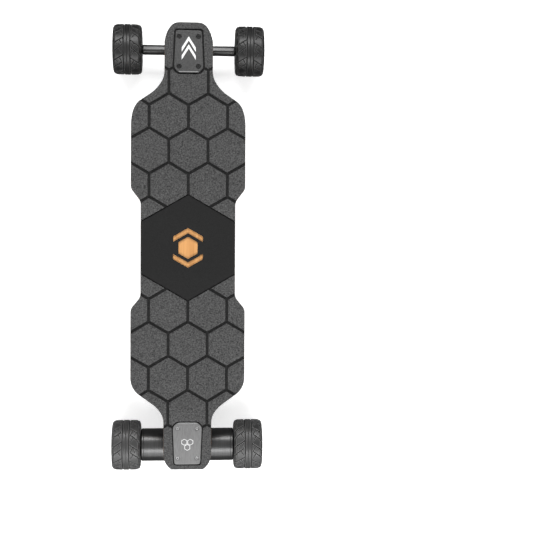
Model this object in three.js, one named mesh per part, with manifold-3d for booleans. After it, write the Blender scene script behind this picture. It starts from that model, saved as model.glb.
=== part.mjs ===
// Electric skateboard: a deck on two trucks with four tyred wheels, two motors beside the rear wheels, and an
// enclosure of electronics under the deck. Millimetres, +X to the rider's right, +Y to the nose, +Z up.
// The origin is on the ground, midway between the two axles.
import * as THREE from "three";
import { ConvexGeometry } from "three/addons/geometries/ConvexGeometry.js";
import { mergeVertices } from "three/addons/utils/BufferGeometryUtils.js";
import Module from "manifold-3d";

const wasm = await Module();
wasm.setup();

// ---------------------------------------------------------------- driving dimensions
const GAP = 0.3; // between pieces that touch on the real board
const SLIVER = 0.01; // edges shorter than this are closed up after a cut or a join

const WHEELBASE = 878;
const WHEEL_DIAMETER = 110;
const WHEEL_WIDTH = 62;
const WHEEL_CENTRE_X = 134.5;
const AXLE_Z = WHEEL_DIAMETER / 2;

const DECK_MIDDLE_Y = 3; // the deck sits this far ahead of the axles' middle
const DECK_THICKNESS = 12;
const NECK_UNDERSIDE_Z = 130;
const PLATFORM_DROP = 8;
const CONCAVE_START_X = 70;
const CONCAVE_RISE = 6;
const CONCAVE_WIDTH = 52.7;
const DROP_STARTS_Y = 306;
const DROP_ENDS_Y = 357;
const FOAM_THICKNESS = 4;

const BOLT_PATTERN_Y = 420.5; // centre of each truck's four bolts, from the middle
const BOLT_HALF_SPACING_X = 20.65;
const BOLT_HALF_SPACING_Y = 31.75;
const BOLT_RADIUS = 2.9;

const PLATE_LENGTH = 90.5;
const PLATE_INNER_WIDTH = 63;
const PLATE_OUTER_WIDTH = 56;

const ENCLOSURE_FRONT_Y = 306;
const ENCLOSURE_REAR_Y = -317;
const FLANGE_WIDTH = 164;
const BODY_WIDTH = 145;
const BODY_END_INSET = 8;
const WALL = 2.5;
const WALL_SLOPE = THREE.MathUtils.degToRad(17);
const GROOVES_Y = [137, 51, -34, -120, -204.5];
const GROOVE_WIDTH = 4;
const GROOVE_DEPTH = 1.4;
const SCREWS_Y = [297, 236.5, 179, 80, 8, -92, -191, -241, -307];
const SCREW_X = 77;
const NOTCH_RADIUS = 6.2;

const STEER_TILT = Math.atan2(30, 32); // the steering axis above the horizontal
const KINGPIN_LEAN = THREE.MathUtils.degToRad(20);
const BUSHING_CENTRE = new THREE.Vector3(0, -23, 58); // in a truck's own frame, +Y outboard

const MOTOR_RADIUS = 36;
const MOTOR_INNER_X = 41.2;
const MOTOR_OUTER_X = 103.1;

// ---------------------------------------------------------------- heights that follow
const NECK_TOP_Z = NECK_UNDERSIDE_Z + DECK_THICKNESS;
const PLATFORM_UNDERSIDE_Z = NECK_UNDERSIDE_Z - PLATFORM_DROP;
const PLATE_TOP_Z = NECK_TOP_Z + FOAM_THICKNESS;
const RISER_THICKNESS = 14;
const RISER_TOP_Z = NECK_UNDERSIDE_Z - GAP;
const RISER_BOTTOM_Z = RISER_TOP_Z - RISER_THICKNESS;
const BASE_TOP_Z = RISER_BOTTOM_Z - GAP;
const BASE_THICKNESS = 8;
const BASE_BOTTOM_Z = BASE_TOP_Z - BASE_THICKNESS;
const RAIL_DEPTH = 2;
const GASKET_TOP_Z = PLATFORM_UNDERSIDE_Z - GAP;
const GASKET_THICKNESS = 2;
const FLANGE_TOP_Z = GASKET_TOP_Z - GASKET_THICKNESS - GAP;
const FLANGE_THICKNESS = 2.2;
const FLANGE_BOTTOM_Z = FLANGE_TOP_Z - FLANGE_THICKNESS;
const END_LID_Z = 93;
const MIDDLE_LID_Z = 95.5;
const CAVITY_FLOOR_Z = MIDDLE_LID_Z + WALL;

// ---------------------------------------------------------------- solids
function solidOf(geometry) {
  const bare = geometry.clone();
  bare.deleteAttribute("normal");
  bare.deleteAttribute("uv");
  const merged = mergeVertices(bare, 1e-4);
  const mesh = new wasm.Mesh({
    numProp: 3,
    vertProperties: merged.attributes.position.array,
    triVerts: new Uint32Array(merged.index.array),
  });
  return new wasm.Manifold(mesh);
}

function geometryOf(solid) {
  const mesh = solid.simplify(SLIVER).getMesh();
  const geometry = new THREE.BufferGeometry();
  geometry.setAttribute("position", new THREE.BufferAttribute(mesh.vertProperties, 3));
  geometry.setIndex(new THREE.BufferAttribute(mesh.triVerts, 1));
  const faceted = geometry.toNonIndexed();
  faceted.computeVertexNormals();
  return faceted;
}

function join(...geometries) {
  return geometryOf(geometries.map(solidOf).reduce((whole, next) => whole.add(next)));
}

function cut(geometry, ...tools) {
  return geometryOf(tools.map(solidOf).reduce((rest, tool) => rest.subtract(tool), solidOf(geometry)));
}

function overlap(a, b) {
  return geometryOf(solidOf(a).intersect(solidOf(b)));
}

// ---------------------------------------------------------------- shapes
function box(xLow, xHigh, yLow, yHigh, zLow, zHigh) {
  const geometry = new THREE.BoxGeometry(xHigh - xLow, yHigh - yLow, zHigh - zLow);
  return geometry.translate((xLow + xHigh) / 2, (yLow + yHigh) / 2, (zLow + zHigh) / 2);
}

// A cylinder from one point to another.
function rod(from, to, radius, sides = 16, endRadius = radius) {
  const along = new THREE.Vector3().subVectors(to, from);
  const turn = new THREE.Quaternion().setFromUnitVectors(
    new THREE.Vector3(0, 1, 0),
    along.clone().normalize(),
  );
  const geometry = new THREE.CylinderGeometry(endRadius, radius, along.length(), sides);
  const middle = new THREE.Vector3().addVectors(from, to).multiplyScalar(0.5);
  return geometry.applyQuaternion(turn).translate(middle.x, middle.y, middle.z);
}

function rodX(xLow, xHigh, y, z, radius, sides = 16) {
  return rod(new THREE.Vector3(xLow, y, z), new THREE.Vector3(xHigh, y, z), radius, sides);
}

function rodZ(x, y, zLow, zHigh, radius, sides = 8) {
  return rod(new THREE.Vector3(x, y, zLow), new THREE.Vector3(x, y, zHigh), radius, sides);
}

// A turned piece about the Y axis from its closed profile of [radius, height] points.
function turned(profile, sides) {
  const points = profile.map(([radius, height]) => new THREE.Vector2(radius, height));
  if (THREE.ShapeUtils.area(points) < 0) points.reverse();
  points.push(points[0].clone());
  return new THREE.LatheGeometry(points, sides);
}

function turnedX(profile, sides) {
  return turned(profile, sides).rotateZ(-Math.PI / 2);
}

// A turned piece whose own axis is laid from a point along a direction.
function turnedAlong(profile, sides, origin, direction) {
  const turn = new THREE.Quaternion().setFromUnitVectors(new THREE.Vector3(0, 1, 0), direction);
  return turned(profile, sides).applyQuaternion(turn).translate(origin.x, origin.y, origin.z);
}

function outline(points) {
  return new THREE.Shape(points.map(([x, y]) => new THREE.Vector2(x, y)));
}

function roundedRectangle(width, length, radius) {
  const x = width / 2;
  const y = length / 2;
  const shape = new THREE.Shape();
  shape.moveTo(x, -y + radius);
  shape.absarc(x - radius, y - radius, radius, 0, Math.PI / 2);
  shape.absarc(-x + radius, y - radius, radius, Math.PI / 2, Math.PI);
  shape.absarc(-x + radius, -y + radius, radius, Math.PI, 1.5 * Math.PI);
  shape.absarc(x - radius, -y + radius, radius, 1.5 * Math.PI, 2 * Math.PI);
  return shape;
}

// A plan shape pulled up between two heights.
function slab(shape, zLow, zHigh, curveSegments = 3) {
  const geometry = new THREE.ExtrudeGeometry(shape, {
    depth: zHigh - zLow,
    bevelEnabled: false,
    curveSegments,
  });
  return geometry.translate(0, 0, zLow);
}

// A side view in (y, z) pulled out sideways between two x values.
function profileAcross(points, xLow, xHigh) {
  const geometry = slab(outline(points), xLow, xHigh);
  return geometry.applyMatrix4(new THREE.Matrix4().set(0, 0, 1, 0, 1, 0, 0, 0, 0, 1, 0, 0, 0, 0, 0, 1));
}

function cable(points, radius, steps) {
  const route = new THREE.CatmullRomCurve3(points.map(([x, y, z]) => new THREE.Vector3(x, y, z)));
  const section = new THREE.Shape().absarc(0, 0, radius, 0, 2 * Math.PI);
  return new THREE.ExtrudeGeometry(section, { steps, curveSegments: 4, extrudePath: route });
}

// ---------------------------------------------------------------- materials
function paint(color, roughness, metalness) {
  return new THREE.MeshStandardMaterial({ color, roughness, metalness });
}

const bamboo = paint(0xb98a52, 0.5, 0);
const foam = paint(0x4e4e50, 0.95, 0);
const smoothFoam = paint(0x303032, 0.85, 0);
const darkPlate = paint(0x46474a, 0.4, 0.9);
const lightPlate = paint(0x9a9b9d, 0.35, 0.9);
const blackPlastic = paint(0x1b1b1d, 0.5, 0);
const blackMetal = paint(0x1d1d20, 0.4, 0.6);
const castMetal = paint(0x8c8e90, 0.45, 0.9);
const anodised = paint(0x2c2d30, 0.3, 0.9);
const steel = paint(0xb8babd, 0.25, 1);
const rubber = paint(0x222224, 0.85, 0);
const urethane = paint(0x2a2a2d, 0.55, 0);
const clear = paint(0xe6e8ea, 0.08, 0);
const shrinkWrap = paint(0x2d5c9e, 0.4, 0);
const board = paint(0x1f5a3a, 0.5, 0);

const skateboard = new THREE.Group();

function add(name, geometry, material, parent = skateboard) {
  const mesh = new THREE.Mesh(geometry, material);
  mesh.name = name;
  parent.add(mesh);
}

// ---------------------------------------------------------------- deck and what is stuck on it
// The right-hand edge from nose to tail, as [half width, distance from the deck's middle].
function deckEdge() {
  const edge = new THREE.Path();
  edge.moveTo(19.6, 480);
  edge.quadraticCurveTo(44, 480, 51.8, 440);
  edge.lineTo(51.8, 375);
  edge.quadraticCurveTo(52.5, 351, 78.5, 330);
  edge.lineTo(104, 313);
  edge.quadraticCurveTo(122, 299, 122.7, 262);
  edge.lineTo(122.7, 132);
  edge.quadraticCurveTo(122.7, 124, 118, 118);
  edge.lineTo(106, 102.5);
  edge.quadraticCurveTo(101.5, 96.5, 101.5, 88);
  edge.lineTo(101.5, -99.5);
  edge.quadraticCurveTo(101.5, -108, 106, -114);
  edge.lineTo(118, -128.5);
  edge.quadraticCurveTo(122.6, -134, 122.6, -142);
  edge.lineTo(122.6, -282);
  edge.quadraticCurveTo(122.6, -308, 99, -323);
  edge.lineTo(78.5, -337.5);
  edge.quadraticCurveTo(52.5, -355, 51.6, -378);
  edge.lineTo(51.2, -452);
  edge.quadraticCurveTo(48, -471, 34, -480);
  return edge.getPoints(3);
}

// How far the deck's surface stands above the platform's middle.
function deckRise(halfWidth, distance) {
  const neck = THREE.MathUtils.smoothstep(Math.abs(distance), DROP_STARTS_Y, DROP_ENDS_Y);
  const out = Math.max(0, halfWidth - CONCAVE_START_X) / CONCAVE_WIDTH;
  return PLATFORM_DROP * neck + CONCAVE_RISE * out * out;
}

// A layer that follows the deck's plan and its curves, between two heights over its underside.
function deckLayer(low, high) {
  const stations = deckEdge();
  const rows = stations.length - 1;
  const columns = 8;
  const geometry = new THREE.BoxGeometry(2, 1, 1, columns, rows, 1);
  const position = geometry.attributes.position;
  for (let i = 0; i < position.count; i += 1) {
    const station = stations[Math.round((0.5 - position.getY(i)) * rows)];
    const x = position.getX(i) * station.x;
    const level = position.getZ(i) > 0 ? high : low;
    const z = PLATFORM_UNDERSIDE_Z + deckRise(Math.abs(x), station.y) + level;
    position.setXYZ(i, x, station.y + DECK_MIDDLE_Y, z);
  }
  return geometry;
}

function boltPlaces(end) {
  const places = [];
  for (const side of [-1, 1]) {
    for (const along of [-1, 1]) {
      places.push([side * BOLT_HALF_SPACING_X, end * BOLT_PATTERN_Y + along * BOLT_HALF_SPACING_Y]);
    }
  }
  return places;
}

function boltHoles(ends, zLow, zHigh) {
  return ends.flatMap(boltPlaces).map(([x, y]) => rodZ(x, y, zLow, zHigh, BOLT_RADIUS + 2 * GAP));
}

function plateShape(end, grow) {
  const inner = PLATE_INNER_WIDTH / 2 + grow;
  const outer = PLATE_OUTER_WIDTH / 2 + grow;
  const half = PLATE_LENGTH / 2 + grow;
  const chamfer = 10;
  const points = [
    [inner - chamfer, -half],
    [inner, -half + chamfer],
    [outer + 0.6, half - 7],
    [outer - 2, half - 2],
    [outer - 7, half],
  ];
  const mirrored = points.map(([x, y]) => [-x, y]).reverse();
  return outline([...points, ...mirrored].map(([x, y]) => [end * x, end * (y + BOLT_PATTERN_Y)]));
}

const CENTRE_PANEL_Y = DECK_MIDDLE_Y - 2.5;
const CENTRE_PANEL_APEX = 110.1;

// The centre panel runs out to a point under each hexagon row, with sides at 30 degrees.
function centrePanelShape(grow) {
  const wide = 140;
  const fall = wide * Math.tan(Math.PI / 6);
  const apex = CENTRE_PANEL_APEX + grow;
  const half = [
    [wide, apex - fall],
    [0, apex],
    [-wide, apex - fall],
  ];
  const whole = [...half, ...half.map(([x, y]) => [-x, -y])];
  return outline(whole.map(([x, y]) => [x, y + CENTRE_PANEL_Y]));
}

// Plain windows in the centre panel through which the bamboo shows: two chevrons and a hexagon.
function panelWindows() {
  const chevron = [
    [0, 43],
    [32, 24.5],
    [32, 13],
    [0, 31.5],
    [-32, 13],
    [-32, 24.5],
  ];
  const hexagon = [0, 1, 2, 3, 4, 5].map((corner) => {
    const angle = (corner * Math.PI) / 3 + Math.PI / 6;
    return [24 * Math.cos(angle), 24 * Math.sin(angle)];
  });
  const down = chevron.map(([x, y]) => [-x, -y]);
  return [chevron, hexagon, down].map((points) =>
    slab(outline(points.map(([x, y]) => [x, y + CENTRE_PANEL_Y])), 100, 180),
  );
}

function addDeck() {
  add("deck", cut(deckLayer(0, DECK_THICKNESS), ...boltHoles([1, -1], 120, 150)), bamboo);

  const throughDeck = deckLayer(DECK_THICKNESS - 4, DECK_THICKNESS + FOAM_THICKNESS);
  const foamLayer = cut(throughDeck, deckLayer(0, DECK_THICKNESS + GAP));
  const middle = slab(centrePanelShape(0), 100, 180);
  for (const [name, end] of [
    ["grip_front", 1],
    ["grip_rear", -1],
  ]) {
    const half = end > 0 ? box(-200, 200, 0, 600, 100, 180) : box(-200, 200, -600, 0, 100, 180);
    const pocket = slab(plateShape(end, GAP), 100, 180);
    add(name, cut(overlap(foamLayer, half), middle, pocket), foam);
  }
  const panel = overlap(foamLayer, slab(centrePanelShape(-GAP), 100, 180));
  add("centre_panel", cut(panel, ...panelWindows()), smoothFoam);
}

// A plate, joined to the four bolts that clamp it through deck and truck, and to their nuts.
function addPlate(name, end, material) {
  const plate = slab(plateShape(end, 0), NECK_TOP_Z + GAP, PLATE_TOP_Z);
  const fasteners = boltPlaces(end).flatMap(([x, y]) => {
    const inboard = Math.abs(y) < BOLT_PATTERN_Y;
    const nutTop = BASE_BOTTOM_Z - GAP - (inboard ? RAIL_DEPTH : 0);
    return [
      rodZ(x, y, nutTop - 9, NECK_TOP_Z + 1, BOLT_RADIUS),
      rodZ(x, y, nutTop - 6, nutTop, 5.4, 6),
    ];
  });
  add(name, join(plate, ...fasteners), material);
}

// ---------------------------------------------------------------- enclosure and electronics
// A block with sloping walls, as the hull of two rounded rectangles; grow moves its walls out.
function shellBlock(yLow, yHigh, zTop, zBottom, grow, radius = 16) {
  const points = [];
  for (const z of [zTop, zBottom]) {
    const inset = (FLANGE_BOTTOM_Z - z) * Math.tan(WALL_SLOPE) - grow;
    const shape = roundedRectangle(BODY_WIDTH - 2 * inset, yHigh - yLow - 2 * inset, radius);
    for (const point of shape.getPoints(3)) {
      points.push(new THREE.Vector3(point.x, point.y + (yLow + yHigh) / 2, z));
    }
  }
  return new ConvexGeometry(points);
}

const BODY_FRONT_Y = ENCLOSURE_FRONT_Y - BODY_END_INSET;
const BODY_REAR_Y = ENCLOSURE_REAR_Y + BODY_END_INSET;
const ENCLOSURE_LENGTH = ENCLOSURE_FRONT_Y - ENCLOSURE_REAR_Y;
const ENCLOSURE_MIDDLE_Y = (ENCLOSURE_FRONT_Y + ENCLOSURE_REAR_Y) / 2;

// A place on a side wall at a height, with the wall's outward direction.
function wallPlace(side, y, z) {
  const inset = (FLANGE_BOTTOM_Z - z) * Math.tan(WALL_SLOPE);
  const outward = new THREE.Vector3(side * Math.cos(WALL_SLOPE), 0, -Math.sin(WALL_SLOPE));
  return { centre: new THREE.Vector3(side * (BODY_WIDTH / 2 - inset), y, z), outward };
}

function wallRod(place, from, to, radius, sides = 16) {
  const at = (distance) => place.centre.clone().addScaledVector(place.outward, distance);
  return rod(at(from), at(to), radius, sides);
}

const POWER_PLACE = wallPlace(1, -221, 105.5);
const CHARGE_PLACE = wallPlace(-1, 206, 105.5);
const WALL_BORE = 8.4;

function addEnclosure() {
  const inRoom = (geometry) => geometry.translate(0, ENCLOSURE_MIDDLE_Y, 0);
  const flangeShape = roundedRectangle(FLANGE_WIDTH, ENCLOSURE_LENGTH, 22);
  const flange = inRoom(slab(flangeShape, FLANGE_BOTTOM_Z, FLANGE_TOP_Z));
  const whole = shellBlock(BODY_REAR_Y, BODY_FRONT_Y, FLANGE_TOP_Z, MIDDLE_LID_Z, 0);
  const front = shellBlock(GROOVES_Y[0], BODY_FRONT_Y, FLANGE_TOP_Z, END_LID_Z, 0);
  const rear = shellBlock(BODY_REAR_Y, GROOVES_Y.at(-1), FLANGE_TOP_Z, END_LID_Z, 0);
  const cavity = shellBlock(BODY_REAR_Y, BODY_FRONT_Y, FLANGE_TOP_Z + 1, CAVITY_FLOOR_Z, -WALL, 14);
  const core = shellBlock(BODY_REAR_Y, BODY_FRONT_Y, FLANGE_TOP_Z + 1, MIDDLE_LID_Z + GROOVE_DEPTH, -GROOVE_DEPTH);
  const bands = GROOVES_Y.map((y) =>
    box(-100, 100, y - GROOVE_WIDTH / 2, y + GROOVE_WIDTH / 2, 80, FLANGE_BOTTOM_Z),
  );
  const grooves = bands.map((band) => cut(band, core));
  const notches = SCREWS_Y.flatMap((y) =>
    [-1, 1].map((side) => rodZ(side * SCREW_X, y, 80, FLANGE_BOTTOM_Z, NOTCH_RADIUS, 10)),
  );
  const bores = [POWER_PLACE, CHARGE_PLACE].map((place) => wallRod(place, -8, 6, WALL_BORE));
  const shell = cut(join(flange, whole, front, rear), cavity, ...grooves, ...notches, ...bores);
  add("enclosure", shell, blackPlastic);

  const gasketTop = inRoom(slab(flangeShape, FLANGE_TOP_Z + GAP, GASKET_TOP_Z));
  const opening = inRoom(slab(roundedRectangle(138, ENCLOSURE_LENGTH - 34, 14), 100, 140));
  add("enclosure_gasket", cut(gasketTop, opening), rubber);
}

function addElectronics() {
  const low = CAVITY_FLOOR_Z + GAP;
  const high = low + 20;
  const cellBlocks = [[212, 284], [142, 208], [56, 132], [-29, 46], [-115, -39], [-199, -125]];
  const blocks = cellBlocks.map(([rear, front]) => box(-58, 58, rear, front, low, high));
  const straps = [-30, 30].map((x) => box(x - 5, x + 5, cellBlocks.at(-1)[0], 284, high - 5, high - 2));
  add("battery_pack", join(...blocks, ...straps), shrinkWrap);

  const controllerRear = -290;
  const controllerFront = -230;
  const caseBlock = box(-50, 50, controllerRear, controllerFront, low, low + 17);
  const fins = [-40, -24, -8, 8, 24, 40].map((x) =>
    box(x - 5, x + 5, controllerRear - 1, controllerFront + 1, low + 13, low + 20),
  );
  add("motor_controller", cut(caseBlock, ...fins), castMetal);
  add("receiver_board", box(-34, 34, -226, -204, low, low + 6), board);
}

function addPowerButton() {
  const bezel = [
    [5.9, -6],
    [5.9, 1.6],
    [7.2, 1.6],
    [8.05, 0.8],
    [8.05, -6],
  ];
  const { centre, outward } = POWER_PLACE;
  add("power_button_bezel", turnedAlong(bezel, 18, centre, outward), steel);
  add("power_button", wallRod(POWER_PLACE, -4, 2.2, 5.5), blackPlastic);
}

const FLAP_HINGE = CHARGE_PLACE.centre
  .clone()
  .addScaledVector(CHARGE_PLACE.outward, 2.8)
  .add(new THREE.Vector3(-Math.sin(WALL_SLOPE), 0, Math.cos(WALL_SLOPE)).multiplyScalar(9.6));

function addChargePort() {
  const profile = [
    [4, 1.2],
    [8, 1.2],
    [8, -7],
    [0, -7],
    [0, 0.2],
    [1, 0.2],
    [1, -5],
    [4, -5],
  ];
  const { centre, outward } = CHARGE_PLACE;
  add("charge_port", turnedAlong(profile, 16, centre, outward), steel);
  const flap = wallRod(CHARGE_PLACE, 1.6, 4, 7.8);
  const pin = rod(
    FLAP_HINGE.clone().add(new THREE.Vector3(0, -5, 0)),
    FLAP_HINGE.clone().add(new THREE.Vector3(0, 5, 0)),
    1.2,
    10,
  );
  const up = new THREE.Vector3(-Math.sin(WALL_SLOPE), 0, Math.cos(WALL_SLOPE));
  const tabCentre = CHARGE_PLACE.centre
    .clone()
    .addScaledVector(CHARGE_PLACE.outward, 2.8)
    .addScaledVector(up, 7);
  const tab = new THREE.BoxGeometry(2, 8, 5.4).rotateY(-WALL_SLOPE);
  tab.translate(tabCentre.x, tabCentre.y, tabCentre.z);
  add("charge_port_cap", join(flap, pin, tab), rubber);
}

// ---------------------------------------------------------------- lamps and risers
const LAMP_X = 40;
const LAMP_Z = 104;
const LAMP_RADIUS = 10.4;
const LAMP_REAR_Y = 380;
const LAMP_FRONT_Y = 433;
const BRACKET_REAR_Y = 361;
const BRACKET_SLOPE_TOP_Z = 124;
const BRACKET_SLOPE_DOWN = 27.7;
const BRACKET_HALF_WIDTH = 51.5;
const RISER_HALF_WIDTH = 28;
const SWITCH_RADIUS = 6.6;

function addLamps() {
  const slopeBottomZ = BRACKET_SLOPE_TOP_Z - BRACKET_SLOPE_DOWN;
  const slopeEndY = BRACKET_REAR_Y + 16;
  const side = [
    [BRACKET_REAR_Y, RISER_TOP_Z],
    [BRACKET_REAR_Y, BRACKET_SLOPE_TOP_Z],
    [slopeEndY, slopeBottomZ],
    [LAMP_REAR_Y - GAP, slopeBottomZ],
    [LAMP_REAR_Y - GAP, RISER_BOTTOM_Z],
    [436, RISER_BOTTOM_Z],
    [436, RISER_TOP_Z],
  ];
  const wide = profileAcross(side, -BRACKET_HALF_WIDTH, BRACKET_HALF_WIDTH);
  const tongue = box(-RISER_HALF_WIDTH, RISER_HALF_WIDTH, 430, 463, RISER_BOTTOM_Z, RISER_TOP_Z);
  const sleeves = [-LAMP_X, LAMP_X].map((x) =>
    box(x - 8, x + 8, 392, 424, LAMP_Z + 6, RISER_BOTTOM_Z + 1),
  );
  const tubes = [-LAMP_X, LAMP_X].map((x) =>
    rod(new THREE.Vector3(x, LAMP_REAR_Y - GAP, LAMP_Z), new THREE.Vector3(x, 440, LAMP_Z), LAMP_RADIUS + 2 * GAP),
  );
  const outward = new THREE.Vector3(0, -Math.cos(Math.PI / 6), -Math.sin(Math.PI / 6));
  const switchFace = new THREE.Vector3(LAMP_X, BRACKET_REAR_Y + 8, BRACKET_SLOPE_TOP_Z - BRACKET_SLOPE_DOWN / 2);
  const onFace = (distance) => switchFace.clone().addScaledVector(outward, distance);
  const well = rod(onFace(-6), onFace(3), SWITCH_RADIUS + 0.6);
  const holes = boltHoles([1], 100, 140);
  add("lamp_bracket", cut(join(wide, tongue, ...sleeves), ...tubes, well, ...holes), blackPlastic);
  add("lamp_switch", rod(onFace(-3.5), onFace(2), SWITCH_RADIUS), steel);

  for (const [name, x] of [
    ["left", -LAMP_X],
    ["right", LAMP_X],
  ]) {
    const housing = [
      [0, 0],
      [LAMP_RADIUS - 1.5, 0],
      [LAMP_RADIUS, 1.5],
      [LAMP_RADIUS, 53],
      [8.8, 53],
      [8.8, 46],
      [3, 38],
      [0, 38],
    ];
    const origin = new THREE.Vector3(x, LAMP_REAR_Y, LAMP_Z);
    const ahead = new THREE.Vector3(0, 1, 0);
    add(`lamp_housing_${name}`, turnedAlong(housing, 18, origin, ahead), blackMetal);
    const lens = rod(new THREE.Vector3(x, 428, LAMP_Z), new THREE.Vector3(x, 431.5, LAMP_Z), 8.4);
    add(`lamp_lens_${name}`, lens, clear);
  }
}

function addRearRiser() {
  const block = box(-RISER_HALF_WIDTH, RISER_HALF_WIDTH, -463, -375, RISER_BOTTOM_Z, RISER_TOP_Z);
  add("rear_riser", cut(block, ...boltHoles([-1], 100, 140)), blackPlastic);
}

// ---------------------------------------------------------------- trucks, in their own frame: +Y outboard
const STEER_AXIS = new THREE.Vector3(0, Math.cos(STEER_TILT), Math.sin(STEER_TILT));
const KINGPIN_AXIS = new THREE.Vector3(0, -Math.sin(KINGPIN_LEAN), Math.cos(KINGPIN_LEAN));

function onKingpin(distance) {
  return BUSHING_CENTRE.clone().addScaledVector(KINGPIN_AXIS, distance);
}

function onSteerAxis(distance) {
  return BUSHING_CENTRE.clone().addScaledVector(STEER_AXIS, distance);
}

const AXLE_RADIUS = 4;
const PATTERN_LOCAL_Y = BOLT_PATTERN_Y - WHEELBASE / 2;

function baseplate() {
  const plateShapeHere = roundedRectangle(51.6, 82.5, 6);
  const plate = slab(plateShapeHere, BASE_BOTTOM_Z, BASE_TOP_Z).translate(0, PATTERN_LOCAL_Y + 0.6, 0);
  const rails = [-1, 1].map((side) => {
    const low = side > 0 ? 14.8 : -25.8;
    return box(low, low + 11, -58, -24, BASE_BOTTOM_Z - RAIL_DEPTH, BASE_BOTTOM_Z + 1);
  });
  const boss = rod(onKingpin(20.3), onKingpin(53), 15);
  const housing = profileAcross(
    [
      [12.9, 75.3],
      [22, 84.5],
      [22, BASE_BOTTOM_Z + 1],
      [-5, BASE_BOTTOM_Z + 1],
      [-3.5, 92.7],
    ],
    -13,
    13,
  );
  const holes = [-1, 1].flatMap((side) =>
    [-1, 1].map((along) => {
      const y = PATTERN_LOCAL_Y + along * BOLT_HALF_SPACING_Y;
      return rodZ(side * BOLT_HALF_SPACING_X, y, 90, 120, BOLT_RADIUS + 2 * GAP);
    }),
  );
  const kingpinBore = rod(onKingpin(10), onKingpin(52), 5.3, 12);
  const headPocket = rod(onKingpin(49.5), onKingpin(75), 9.2);
  const aboveDeckSide = box(-40, 40, -80, 40, BASE_TOP_Z, BASE_TOP_Z + 30);
  const cupBore = rod(onSteerAxis(30), onSteerAxis(52.5), 9.5);
  const body = join(plate, ...rails, boss, housing);
  return cut(body, ...holes, kingpinBore, headPocket, cupBore, aboveDeckSide);
}

function kingpin() {
  return join(rod(onKingpin(-30), onKingpin(51), 4.75, 12), rod(onKingpin(50), onKingpin(56.5), 8.4, 6));
}

function kingpinNut() {
  const washer = rod(onKingpin(-18.8), onKingpin(-17), 12.5, 20);
  const nut = rod(onKingpin(-27), onKingpin(-18.5), 8, 6);
  return cut(join(washer, nut), rod(onKingpin(-40), onKingpin(0), 5.3, 12));
}

function bushing(low, high, lowRadius, middleRadius, highRadius) {
  const profile = [
    [5.3, low],
    [lowRadius, low],
    [middleRadius, (low + high) / 2],
    [highRadius, high],
    [5.3, high],
  ];
  return turnedAlong(profile, 16, BUSHING_CENTRE, KINGPIN_AXIS);
}

function pivotCup() {
  const profile = [
    [6.5, 38.5],
    [9, 38.5],
    [9, 52.2],
    [0, 52.2],
    [0, 50.5],
    [4.5, 50.5],
    [6.5, 48.5],
  ];
  return turnedAlong(profile, 16, BUSHING_CENTRE, STEER_AXIS);
}

// The middle of a hanger: the ring between the bushings, the sleeve round the axle and the pivot nose.
function hangerMiddle(ringRadius) {
  const ring = rod(onKingpin(-6), onKingpin(6), ringRadius);
  const sleeve = rodX(-23, 23, 0, AXLE_Z, 10.2);
  const corners = [];
  for (const geometry of [ring, sleeve]) {
    const position = geometry.attributes.position;
    for (let i = 0; i < position.count; i += 1) {
      const point = new THREE.Vector3().fromBufferAttribute(position, i);
      point.x = THREE.MathUtils.clamp(point.x, -17, 17);
      corners.push(point);
    }
  }
  const web = new ConvexGeometry(corners);
  const arm = profileAcross(
    [
      [-10, 57],
      [10, 57],
      [10, 68],
      [7.6, 76.4],
      [-2.6, 87.4],
      [-10, 74],
    ],
    -11,
    11,
  );
  const nose = rod(onSteerAxis(28), onSteerAxis(46), 6);
  const noseTip = rod(onSteerAxis(46), onSteerAxis(49.8), 6, 16, 4);
  return join(ring, sleeve, web, arm, nose, noseTip);
}

// Room for the kingpin, the upper bushing, and the lower bushing with its washer as the hanger tilts.
function hangerClearances() {
  const pinHole = rod(onKingpin(-30), onKingpin(30), 8.5);
  const above = rod(onKingpin(6), onKingpin(30), 13.2);
  const room = new THREE.CylinderGeometry(13.8, 13.8, 34, 16).scale(1.35, 1, 1);
  const turn = new THREE.Quaternion().setFromUnitVectors(new THREE.Vector3(0, 1, 0), KINGPIN_AXIS);
  const middle = onKingpin(-23);
  const below = room.applyQuaternion(turn).translate(middle.x, middle.y, middle.z);
  return [pinHole, above, below];
}

function axleRod(halfLength, radius) {
  return rodX(-halfLength, halfLength, 0, AXLE_Z, radius, 12);
}

const AXLE_END_X = WHEEL_CENTRE_X + WHEEL_WIDTH / 2 - 0.3;

function frontHanger() {
  const bars = [-1, 1].map((side) => {
    const section = slab(roundedRectangle(22, 22, 8), 20, 102, 3).rotateY(Math.PI / 2);
    if (side < 0) section.rotateZ(Math.PI);
    return section.translate(0, 0, AXLE_Z);
  });
  const shoulders = axleRod(106, 8);
  const cast = cut(join(hangerMiddle(17), ...bars), ...hangerClearances());
  return join(cast, shoulders, axleRod(AXLE_END_X, AXLE_RADIUS));
}

function rearHanger() {
  const body = slab(
    outline([
      [-23, -9],
      [23, -9],
      [25, 8],
      [27, 25],
      [-27, 25],
      [-25, 8],
    ]),
    45,
    64,
  );
  const cheeks = rodX(-28.2, 28.2, 0, AXLE_Z, 19, 20);
  const cast = cut(join(hangerMiddle(20), body, cheeks), ...hangerClearances());
  return join(cast, axleRod(100, 6), axleRod(AXLE_END_X, AXLE_RADIUS));
}

function addTruck(name, truck, hanger) {
  add(`${name}_baseplate`, baseplate(), castMetal, truck);
  add(`${name}_kingpin`, kingpin(), steel, truck);
  add(`${name}_kingpin_nut`, kingpinNut(), steel, truck);
  add(`${name}_bushing_upper`, bushing(6.4, 20, 11, 12.2, 11), urethane, truck);
  add(`${name}_bushing_lower`, bushing(-16.7, -6.4, 9.5, 11.2, 12), urethane, truck);
  add(`${name}_pivot_cup`, pivotCup(), urethane, truck);
  add(`${name}_hanger`, hanger, blackMetal, truck);
}

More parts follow.
